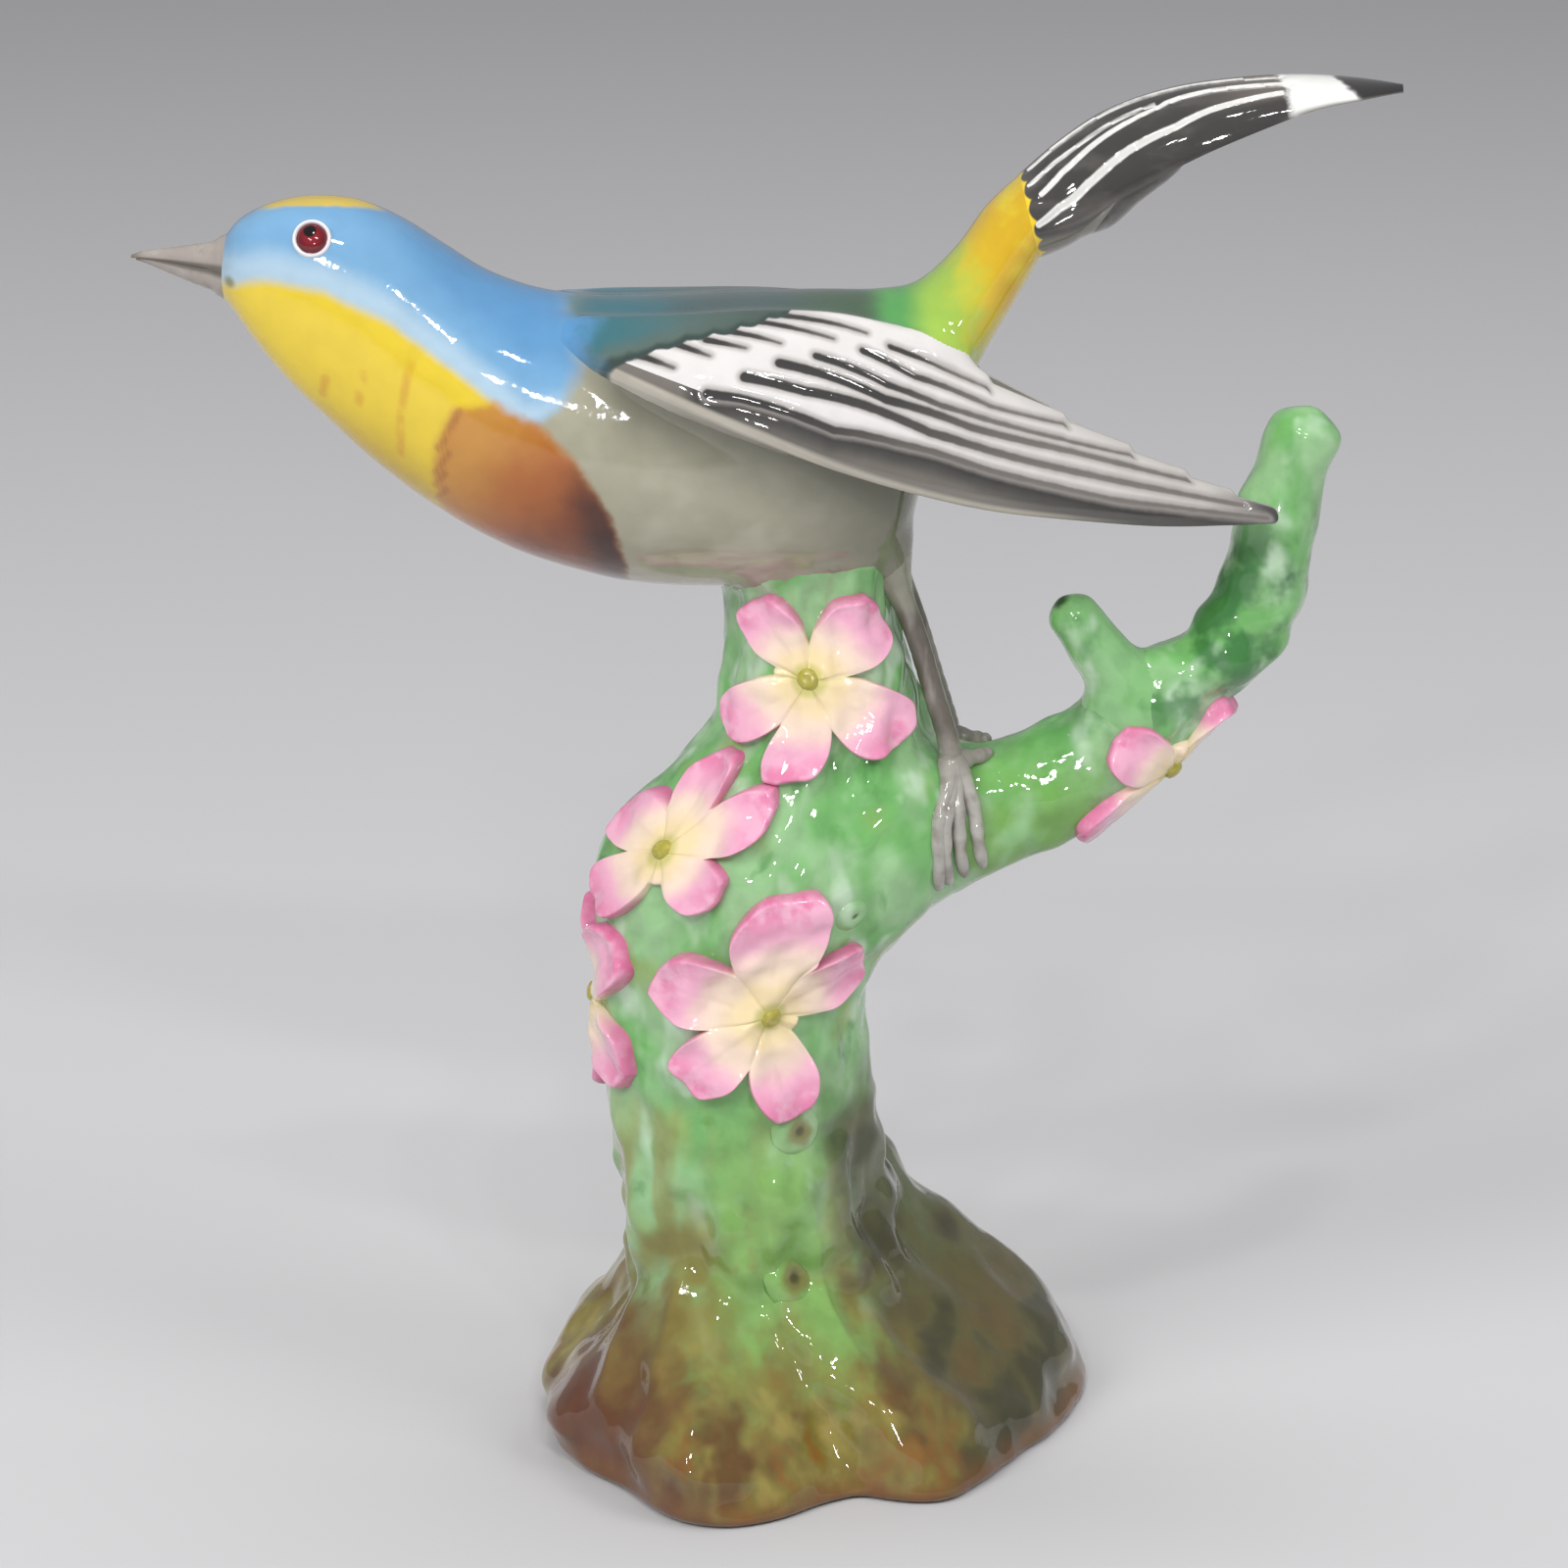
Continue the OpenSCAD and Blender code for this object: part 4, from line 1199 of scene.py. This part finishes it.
class Paint:
    """A hand-painted porcelain material: a ground colour, painted layers, and a clear gloss glaze.

    Colours are display values of 0 to 255. A mask is a share from 0 to 1: a number, a socket, the name of a
    field, or (value, none, full) for a soft edge between two values of a socket or field.
    """

    def __init__(self, name, ground):
        self.material = bpy.data.materials.new(name + "_glaze_painting")
        self.material.use_nodes = True
        self.tree = self.material.node_tree
        self.tree.nodes.clear()
        self.shader = self.node("BsdfPrincipled")
        self.node("OutputMaterial", {0: self.shader.outputs[0]})
        self.where = self.node("TexCoord").outputs["Object"]
        self.colour = srgb(*ground)

    def feed(self, node, inputs):
        """Links or sets inputs of a node, given by name or number."""
        for name, value in inputs.items():
            if isinstance(value, bpy.types.NodeSocket):
                self.tree.links.new(value, node.inputs[name])
            else:
                node.inputs[name].default_value = value

    def node(self, kind, inputs=None, **settings):
        node = self.tree.nodes.new("ShaderNode" + kind)
        for setting, value in settings.items():
            setattr(node, setting, value)
        self.feed(node, inputs or {})
        return node

    def math(self, operation, a, b=0.0):
        return self.node("Math", {0: a, 1: b}, operation=operation).outputs[0]

    def field(self, name):
        return self.node("Attribute", attribute_name=name).outputs["Fac"]

    def value(self, value):
        """A field's name stands for that field."""
        return self.field(value) if isinstance(value, str) else value

    def height(self):
        """Height over the floor, in millimetres."""
        apart = self.node("SeparateXYZ", {0: self.where})
        return self.math("MULTIPLY", apart.outputs[2], 1 / MM)

    def noise(self, size, detail=3.0, stretch=(1, 1, 1), twist=0.0):
        """Noise from 0 to 1 with features of about that many millimetres."""
        mapping = self.node("Mapping", {0: self.where, "Scale": stretch})
        scale = 1 / (size * MM)
        inputs = {"Vector": mapping.outputs[0], "Scale": scale, "Detail": detail, "Distortion": twist}
        return self.node("TexNoise", inputs).outputs["Fac"]

    def mask(self, value, none, full):
        """0 where value is at none, 1 where it is at full, with a soft edge between."""
        rising = none < full
        inputs = {
            "Value": self.value(value),
            "From Min": min(none, full),
            "From Max": max(none, full),
            "To Min": 0.0 if rising else 1.0,
            "To Max": 1.0 if rising else 0.0,
        }
        return self.node("MapRange", inputs, interpolation_type="SMOOTHSTEP").outputs[0]

    def wobble(self, value, size, amount):
        """The value with a hand-painted edge: noise of that size moves it by up to amount."""
        swing = self.math("MULTIPLY", self.math("SUBTRACT", self.noise(size), 0.5), 2 * amount)
        return self.math("ADD", self.value(value), swing)

    def times(self, *masks):
        """The product of masks."""
        total = None
        for mask in masks:
            share = self.mask(*mask) if isinstance(mask, tuple) else self.value(mask)
            total = share if total is None else self.math("MULTIPLY", total, share)
        return total

    def layer(self, colour, *masks):
        """Paints a colour over what is there, as far as all the masks let it."""
        node = self.node("Mix", data_type="RGBA")
        self.feed(node, {"Factor": self.times(*masks), "A": self.colour, "B": srgb(*colour)})
        self.colour = node.outputs["Result"]

    def glaze(self, roughness=0.07, ripple=0.05, depth=0.12):
        """Pools of thicker and thinner wash, then a clear gloss glaze with a faint ripple."""
        pools = {"Factor": self.mask(self.noise(3.2, 4.0), 0.35, 0.7), "A": self.colour}
        pools["B"] = (1 - depth, 1 - depth, 1 - depth, 1)
        washed = self.node("Mix", data_type="RGBA", blend_type="MULTIPLY")
        self.feed(washed, pools)
        mottled = {"Value": self.noise(1.6, 2.0), "To Min": roughness * 0.7, "To Max": roughness * 1.5}
        bump = {"Strength": ripple * 4, "Distance": 0.0006, "Height": self.noise(2.4, 2.0)}
        shader = {
            "Base Color": washed.outputs["Result"],
            "Roughness": self.node("MapRange", mottled).outputs[0],
            "IOR": 1.52,
            "Coat Weight": 0.35,
            "Coat Roughness": 0.04,
            "Normal": self.node("Bump", bump).outputs[0],
        }
        self.feed(self.shader, shader)
        return self.material


BARK_GROUND = (146, 190, 136)


def bark_layers(paint):
    """Washes of green that the stump, branch, twig and knots share. Gives back the height."""
    paint.layer((112, 174, 100), (paint.noise(8.0, 2.5, (1, 1, 0.6), 0.2), 0.45, 0.64))
    paint.layer((74, 138, 70), (paint.noise(5.0, 3.0, (1, 1, 0.6), 0.3), 0.56, 0.74), 0.8)
    paint.layer((184, 212, 180), (paint.noise(6.0, 2.0, (1, 1, 0.55), 0.2), 0.54, 0.72))
    paint.layer((146, 168, 86), (paint.noise(12.0, 2.0), 0.56, 0.72), 0.6)
    return paint.height()


def bark_paint():
    paint = Paint("bark", BARK_GROUND)
    z = bark_layers(paint)
    paint.layer((108, 158, 66), (z, 98, 84), (paint.noise(9.0, 2.0), 0.36, 0.56), 0.85)
    # Darker green round the elbow and above it: partly the bark's own patches, partly painted shade
    dark_patches_and_shade = paint.times((z, 90, 104), (z, 132, 116), (paint.noise(6.0, 3.0), 0.42, 0.6))
    paint.layer((50, 112, 56), dark_patches_and_shade, 0.85)
    return paint.glaze(roughness=0.05, ripple=0.04)


def trunk_layers(paint):
    """Earth colours low on the trunk, a lime streak down its front, and painted shade low on its right
    side.
    """
    z = bark_layers(paint)
    streaks = paint.noise(6.0, 2.5, (1, 1, 0.3), 0.3)
    blotches = paint.noise(9.0, 2.5, (1, 1, 0.75), 0.3)
    patches = paint.noise(6.0, 3.0, (1, 1, 0.8), 0.2)
    low = paint.wobble(z, 10.0, 14.0)
    paint.layer((142, 148, 84), (low, 54, 36), (streaks, 0.4, 0.6), 0.85)
    paint.layer((128, 122, 62), (low, 42, 26), (blotches, 0.36, 0.58))
    paint.layer((126, 114, 54), (low, 30, 12), 0.9)
    paint.layer((152, 138, 72), (low, 28, 12), (patches, 0.48, 0.64), 0.8)
    paint.layer((94, 62, 32), (low, 24, 8), (blotches, 0.54, 0.36), 0.9)
    paint.layer((134, 88, 40), (z, 20, 5), (patches, 0.52, 0.36), 0.8)
    rust = paint.times((paint.wobble("rust", 8.0, 0.5), 0.3, 0.8), (paint.wobble(z, 8.0, 12.0), 28, 10))
    paint.layer((94, 52, 36), rust, 0.85)
    lime = paint.times(
        (paint.wobble("streak", 7.0, 0.6), 0.0, 0.7),
        (paint.wobble(z, 7.0, 12.0), 10, 24),
        (z, 56, 40),
        (patches, 0.24, 0.46),
    )
    paint.layer((126, 172, 92), lime, 0.9)
    # Painted shade low on the trunk's right side, darker in blotches and turning olive-brown near the foot
    shaded_side = paint.times((paint.wobble("shaded_side", 9.0, 0.3), 0.15, 0.6), (low, 60, 44))
    paint.layer((82, 80, 52), shaded_side, 0.9)
    paint.layer((54, 54, 38), shaded_side, (blotches, 0.46, 0.64), 0.7)
    paint.layer((98, 80, 46), shaded_side, (z, 26, 8), (blotches, 0.54, 0.4), 0.8)
    paint.layer((116, 74, 38), (paint.wobble(z, 5.0, 2.5), 5.0, 0.0), 0.85)


def stump_paint():
    paint = Paint("trunk", BARK_GROUND)
    trunk_layers(paint)
    return paint.glaze(roughness=0.04, ripple=0.03)


def knot_paint():
    paint = Paint("knot", BARK_GROUND)
    trunk_layers(paint)
    smudge = paint.mask(paint.wobble("pit", 2.4, 0.35), -0.15, 0.4)
    paint.layer((122, 108, 56), smudge, "brown", 0.8)
    paint.layer((72, 66, 34), (paint.wobble("pit", 1.6, 0.15), 0.4, 0.85), 0.85)
    return paint.glaze(roughness=0.05)


def twig_paint():
    paint = Paint("twig", (134, 184, 124))
    bark_layers(paint)
    end = paint.times((paint.wobble("along", 1.5, 0.05), 0.86, 0.95), ("left", 0.2, 0.8))
    paint.layer((48, 78, 44), end)
    return paint.glaze(roughness=0.06, ripple=0.06)


def plumage_paint():
    paint = Paint("plumage", (156, 153, 133))
    station = paint.wobble("station", 5.0, 0.25)
    over = paint.wobble("over_throat", 3.5, 0.35)
    behind = paint.wobble("behind_neck", 4.0, 1.2)
    upper = paint.wobble("upper", 5.0, 0.8)
    # Grey-olive belly with painted shadow below the wing, and darker towards the rear
    paint.layer((172, 168, 150), (paint.noise(9.0, 2.0), 0.45, 0.7))
    # Below the wing: a darker band, partly the belly's own grey paint and partly painted shadow of the wing
    under = paint.times(("under_wing", -0.1, 0.1), ("under_wing", 1.3, 0.1), ("along_wing", 0.0, 1.0))
    paint.layer((88, 88, 76), under, 0.85)
    paint.layer((108, 108, 92), (station, 10.2, 12.0), 0.7)
    # Back: teal, slate, then green and yellow towards the tail
    back = paint.mask(upper, -1.0, 1.5)
    paint.layer((54, 102, 112), back, (station, 7.6, 8.6))
    paint.layer((72, 88, 88), back, (station, 8.8, 9.8))
    paint.layer((70, 90, 72), back, (station, 10.2, 11.2))
    paint.layer((84, 148, 82), back, (station, 11.6, 12.3))
    paint.layer((150, 184, 76), (station, 12.5, 13.4))
    paint.layer((212, 186, 44), (paint.wobble(station, 3.0, 0.5), 13.4, 14.8))
    paint.layer((204, 160, 30), (station, 13.8, 15.2), (paint.noise(6.0), 0.42, 0.6), 0.8)
    # Head and neck: blue crown, pale band, yellow throat
    front = paint.mask(behind, 2.0, -1.6)
    paint.layer((112, 158, 194), front)
    paint.layer((84, 138, 184), front, (over, 6.0, 12.0))
    paint.layer((80, 134, 180), front, (station, 4.2, 6.6), (over, 3.0, 8.0), 0.7)
    paint.layer((172, 196, 212), front, (over, 4.2, 1.2), 0.9)
    throat = paint.times((over, 0.8, -0.8), ("throat_end", 0.5, -0.5))
    paint.layer((222, 194, 54), throat)
    paint.layer((192, 158, 38), throat, (over, -9.0, -18.0))
    bars = paint.mask(paint.wobble("bars", 1.6, 0.3), 0.95, 0.1)
    paint.layer((200, 142, 44), bars, throat, (paint.noise(3.0, 3.0), 0.3, 0.6), 0.6)
    # Russet breast, darkest at its rear edge
    patch = paint.wobble("breast", 2.2, 0.7)
    breast = paint.mask(patch, -0.9, 1.1)
    russet = paint.wobble("russet", 5.0, 0.1)
    paint.layer((190, 134, 58), breast)
    paint.layer((162, 92, 38), breast, (russet, 0.1, 0.48))
    paint.layer((124, 62, 28), breast, (russet, 0.4, 0.72))
    rear = paint.times((patch, 6.5, 1.5), (patch, -1.0, 0.6), (russet, 0.46, 0.86))
    paint.layer((60, 26, 16), rear)
    paint.layer((84, 40, 22), breast, (russet, 0.92, 1.15))
    dashes = paint.mask(paint.wobble("dashes", 1.3, 0.3), 0.8, 0.0)
    paint.layer((156, 92, 36), dashes, 0.6)
    paint.layer((206, 178, 62), (paint.wobble("crown", 2.0, 0.12), 0.0, 0.3))
    paint.layer((120, 112, 60), ("gape", 1.1, 0.2), 0.8)
    return paint.glaze(roughness=0.06, ripple=0.03, depth=0.05)


def wing_paint():
    paint = Paint("wing", (212, 208, 206))
    row, share = paint.field("row"), paint.field("share")
    below = paint.wobble("below_lead", 2.5, 0.25)
    paint.layer((178, 173, 167), (row, 4.0, 9.5), 0.8)
    # Leading zone: dark under its upper line, greyer below, pale along the rim
    paint.layer((78, 76, 73), (below, -0.3, 0.5))
    paint.layer((112, 107, 100), (below, 1.8, 3.6), (row, 7.6, 5.6))
    paint.layer((48, 46, 45), (below, 2.3, 0.5), (below, -0.3, 0.3))
    paint.layer((172, 166, 154), (share, 0.95, 0.985), (row, 8.0, 6.0), (below, 0.0, 1.0))
    paint.layer((58, 57, 55), (row, 8.6, 9.8), (share, 0.0, 0.3), 0.95)
    # Brushed feather lines that start dark and blunt and fade as they run back
    ink = paint.wobble("ink", 1.4, 0.12)
    fade = paint.field("fade")
    paint.layer((150, 145, 140), (ink, 0.9, 0.0), 0.7)
    paint.layer((112, 107, 102), (ink, 0.2, -0.16))
    paint.layer((58, 56, 55), (ink, 0.2, -0.16), (fade, 0.75, 0.2))
    paint.layer((160, 155, 144), ("inner", 0.0, 0.5))
    cap = paint.wobble("cap", 1.8, 0.35)
    paint.layer((84, 100, 94), (cap, -0.15, 0.35))
    paint.layer((56, 104, 112), (cap, 1.2, 4.5), (row, 2.6, 0.9))
    paint.layer((46, 60, 57), (cap, -0.15, 0.25), (cap, 1.7, 0.5), 0.85)
    paint.layer((62, 76, 68), (cap, 0.0, 1.5), (row, 1.6, 3.2), 0.7)
    paint.layer((84, 138, 184), (paint.wobble(row, 3.0, 0.4), 1.1, 0.3))
    return paint.glaze(roughness=0.05, ripple=0.03, depth=0.05)


# Angle round the tail of one scallop of its root
TAIL_SCALLOP = 27.0


def tail_paint():
    paint = Paint("tail", (62, 60, 58))
    row, around = paint.field("row"), paint.field("around")
    paint.layer((92, 88, 84), (paint.noise(3.6, 3.0, (0.4, 1, 1)), 0.45, 0.75), 0.7)
    paint.layer((112, 104, 98), (row, 3.0, 4.5), (around, 62, 40), 0.7)
    paint.layer((118, 114, 106), (around, 100, 116))
    white = paint.wobble("white", 1.0, 0.07)
    paint.layer((222, 220, 216), (white, 0.16, -0.12), (row, 4.9, 4.7))
    slant = paint.math("ADD", row, paint.math("MULTIPLY", around, -0.005))
    edge = paint.wobble(slant, 1.6, 0.12)
    band = paint.times((paint.wobble(row, 1.6, 0.14), 4.58, 4.72), (edge, 5.62, 5.44))
    paint.layer((226, 225, 221), band)
    paint.layer((50, 48, 47), (edge, 5.44, 5.62))
    paint.layer((112, 109, 104), (around, 78, 90), (row, 4.3, 4.9), 0.9)
    # Yellow rump feathers, scalloped where the dark tail feathers begin
    wave = paint.math("SINE", paint.math("MULTIPLY", around, math.pi / TAIL_SCALLOP))
    cusp = paint.math("ABSOLUTE", wave)
    root = paint.math("ADD", paint.wobble(row, 1.2, 0.03), paint.math("MULTIPLY", cusp, 0.16))
    paint.layer((224, 194, 46), (root, 0.24, 0.15))
    return paint.glaze(roughness=0.05, ripple=0.03, depth=0.05)


def undertail_paint():
    paint = Paint("undertail", (96, 92, 87))
    paint.layer((62, 60, 58), (paint.noise(3.0, 3.0, (0.4, 1, 1)), 0.45, 0.65), 0.8)
    paint.layer((52, 50, 49), (paint.wobble("row", 2.0, 0.15), 3.1, 3.6))
    return paint.glaze()


def horn_paint(name, ground):
    paint = Paint(name, ground)
    paint.layer((112, 104, 94), (paint.noise(2.0, 3.0, (1, 1, 0.4)), 0.52, 0.76), 0.6)
    paint.layer((180, 176, 170), (paint.noise(2.4, 3.0), 0.58, 0.78), 0.5)
    return paint


def bill_paint():
    paint = horn_paint("bill", (158, 149, 142))
    paint.layer((86, 80, 72), ("mouth", 0.3, 0.05), 0.9)
    paint.layer((116, 104, 92), ("along", 0.7, 0.98))
    return paint.glaze(roughness=0.05)


def leg_paint():
    paint = horn_paint("leg", (142, 136, 128))
    z = paint.height()
    paint.layer((168, 165, 158), (z, 95, 90), (paint.noise(2.4, 2.0), 0.3, 0.6))
    paint.layer((96, 88, 80), (z, 94, 98), (paint.noise(2.6, 2.0, (1, 1, 0.2)), 0.42, 0.6), 0.8)
    paint.layer((152, 150, 134), (paint.wobble(z, 3.0, 1.0), 111.0, 114.5))
    return paint.glaze(roughness=0.07)


def eye_paint():
    paint = Paint("eye", (226, 222, 224))
    centre = paint.field("from_centre")
    paint.layer((110, 18, 28), (paint.wobble(centre, 0.9, 0.02), 0.83, 0.78))
    paint.layer((66, 10, 18), (centre, 0.8, 0.7), (centre, 0.6, 0.7), 0.5)
    paint.layer((150, 34, 44), (centre, 0.6, 0.2), 0.5)
    paint.layer((18, 8, 12), ("from_pupil", 0.4, 0.28))
    return paint.glaze(roughness=0.04, ripple=0.0)


def petal_paint():
    paint = Paint("petal", (236, 214, 168))
    share = paint.wobble("share", 3.0, 0.1)
    paint.layer((238, 214, 194), (share, 0.22, 0.46))
    paint.layer((234, 172, 196), (share, 0.44, 0.7))
    paint.layer((224, 130, 168), (share, 0.62, 0.95), (paint.noise(3.0, 3.0), 0.4, 0.6))
    rim = paint.times((paint.wobble("rim", 2.0, 0.25), 0.55, 1.1), (share, 0.42, 0.66))
    paint.layer((204, 96, 142), rim, 0.7)
    paint.layer((222, 222, 170), ("crease", 0.2, 0.6), (share, 0.5, 0.3), 0.6)
    paint.layer((196, 190, 110), ("out", 2.6, 1.5), 0.8)
    return paint.glaze(roughness=0.06, depth=0.04)


def pellet_paint():
    paint = Paint("pellet", (170, 160, 62))
    paint.layer((118, 108, 30), ("height", 0.35, 0.0))
    paint.layer((196, 184, 104), (paint.noise(0.9), 0.45, 0.7), 0.6)
    return paint.glaze(roughness=0.06)


# ---- The figurine ----

stump = make_stump()
branch = make_branch()
twig = make_twig()
bird = make_bird()
wing = make_wing()
right_wing = mirrored(wing, RIGHT_WING_PITCH)
tail = make_tail()
undertail = make_undertail()
upper_bill = half_round(UPPER_BILL, 64, 16)
lower_bill = half_round(LOWER_BILL, 64, 16)
legs = {side: make_leg(side) for side in (-1, 1)}
eyes = {side: make_eye(side, bird) for side in (-1, 1)}

# Round hollows where skins meet, each with its reach in millimetres
grow_together(branch, twig, 5.0)
# The branch rises only on the side that the twig grows from
twig_side = unit(np.subtract(TWIG[2][:3], TWIG[0][:3]))
branch.rise *= ease((branch.normals @ twig_side + 0.3) / 0.3)
grow_together(stump, branch, 12.0)
grow_together(stump, bird, 2.4)
for leg in legs.values():
    grow_together(leg, bird, 5.0)
grow_together(bird, wing, 4.0)
grow_together(bird, right_wing, 4.0)
upper_bill.blend_into(bird, 2.0)
lower_bill.blend_into(bird, 2.0)
grow_together(tail, undertail, 2.0)
branch.hold_start(BRANCH, 0.8, 1.4)
twig.hold_start(TWIG, 0.05, 0.4)
met = (stump, branch, twig, bird, wing, right_wing, tail, undertail, upper_bill, lower_bill)
for skin in (*met, *legs.values()):
    skin.settle()
bird.carry_on(bird.rows - 2, bird.rows - 3)
tail.carry_on(1, 2)
for skin in (stump, branch):
    skin.tree = tree_of(skin.points, skin.faces())
toes = {side: make_toes(side, (stump, branch)) for side in (-1, 1)}
knots = make_knots()
for knot in knots:
    knot.blend_into(stump, 1.6)
    knot.settle()

trunk_material = stump_paint()
plumage_material = plumage_paint()
wing_material = wing_paint()
leg_material = leg_paint()
bill_material = bill_paint()
eye_material = eye_paint()
petal_material = petal_paint()
pellet_material = pellet_paint()

seam_row = round(SEAM_Z / STUMP_STEP)
add_rows(stump, 0, seam_row, "base_mound", trunk_material)
add_rows(stump, seam_row, stump.rows - 1, "stump_trunk", trunk_material)
add_joined(knots, "trunk_knots", knot_paint())
add_skin(branch, "branch", bark_paint())
add_skin(twig, "twig", twig_paint())
neck = NECK_ROW * BIRD_PER_ROW
add_rows(bird, 0, neck, "bird_head", plumage_material)
add_rows(bird, neck, bird.rows - 1, "bird_body", plumage_material)
add_skin(upper_bill, "upper_mandible", bill_material)
add_skin(lower_bill, "lower_mandible", bill_material)
add_skin(wing, "wing_left", wing_material)
add_skin(right_wing, "wing_right", wing_material)
add_skin(tail, "tail_fan", tail_paint())
add_skin(undertail, "undertail_feathers", undertail_paint())
for side, name in ((-1, "left"), (1, "right")):
    add_skin(eyes[side], "eye_" + name, eye_material)
    add_skin(legs[side], "leg_" + name, leg_material)
    add_joined(toes[side], "foot_" + name, leg_material)
for seed, (name, site) in enumerate(BLOSSOMS.items()):
    add_skin(make_petals(site, seed), name + "_blossom_petals", petal_material)
    add_skin(make_pellet(site), name + "_blossom_centre", pellet_material)

# ---- Floor, light and camera, in metres ----

FLOOR_HALF = 6.0
FLOOR_COLOUR = (196, 195, 196)
SKY_COLOUR = (222, 224, 228)
SKY_STRENGTH = 0.42
# Soft boxes: name, place, width and height, watts. The glaze doesn't mirror them
SOFT_BOXES = [
    ("soft_box_left", (-0.85, -0.75, 0.95), (0.6, 0.6), 9.0),
    ("soft_box_right", (0.95, -0.45, 1.0), (0.5, 0.5), 5.0),
    ("overhead", (0.0, 0.25, 1.3), (0.8, 0.5), 5.0),
]
# Places of small lamps that leave the crisp, clustered highlights of a gloss glaze
SPOTS = [
    (-0.30, -0.80, 0.74),
    (-0.20, -0.86, 0.66),
    (0.16, -0.84, 0.82),
    (0.27, -0.80, 0.76),
    (-0.02, -0.52, 1.02),
    (0.08, -0.95, 0.35),
]
SPOT_SIZE = (0.05, 0.05)
SPOT_WATTS = 0.9
LAMP_AIM = Vector((0.0, 0.0, 0.09))
CAMERA_AIM = Vector((-0.0045, 0.0, 0.088))
CAMERA_DISTANCE = 0.640
CAMERA_ELEVATION = math.radians(18.0)
CAMERA_LENS = 115.2
SENSOR = 36.0


def put(thing, place, aim):
    """Places a lamp or camera and turns it to its aim."""
    thing.location = place
    thing.rotation_mode = "QUATERNION"
    thing.rotation_quaternion = (aim - Vector(place)).to_track_quat("-Z", "Y")


def add_floor():
    mesh = bpy.data.meshes.new("floor")
    corners = [(-1, -1, 0), (1, -1, 0), (1, 1, 0), (-1, 1, 0)]
    mesh.from_pydata([Vector(corner) * FLOOR_HALF for corner in corners], [], [(0, 1, 2, 3)])
    material = bpy.data.materials.new("floor_pale")
    material.use_nodes = True
    inputs = material.node_tree.nodes["Principled BSDF"].inputs
    inputs["Base Color"].default_value = srgb(*FLOOR_COLOUR)
    inputs["Roughness"].default_value = 0.9
    inputs["Specular IOR Level"].default_value = 0.1
    mesh.materials.append(material)
    floor = add_object("floor", mesh)


def add_world():
    world = bpy.data.worlds.new("soft_studio")
    world.use_nodes = True
    inputs = world.node_tree.nodes["Background"].inputs
    inputs["Color"].default_value = srgb(*SKY_COLOUR)
    inputs["Strength"].default_value = SKY_STRENGTH
    bpy.context.scene.world = world


def add_lamp(name, place, size, watts, mirrored_in_glaze):
    data = bpy.data.lights.new(name, "AREA")
    data.shape = "RECTANGLE"
    data.size, data.size_y = size
    data.energy = watts
    lamp = add_object(name, data)
    lamp.visible_glossy = mirrored_in_glaze
    put(lamp, place, LAMP_AIM)


def add_camera():
    data = bpy.data.cameras.new("camera")
    data.lens = CAMERA_LENS
    data.sensor_width = SENSOR
    data.clip_start = 0.05
    data.clip_end = 50.0
    camera = add_object("camera", data)
    back = Vector((0, -math.cos(CAMERA_ELEVATION), math.sin(CAMERA_ELEVATION)))
    put(camera, CAMERA_AIM + back * CAMERA_DISTANCE, CAMERA_AIM)
    bpy.context.scene.camera = camera


add_floor()
add_world()
for name, place, size, watts in SOFT_BOXES:
    add_lamp(name, place, size, watts, False)
for k, place in enumerate(SPOTS):
    add_lamp(f"spot_{k}", place, SPOT_SIZE, SPOT_WATTS, True)
add_camera()
bpy.context.scene.view_settings.view_transform = "Standard"
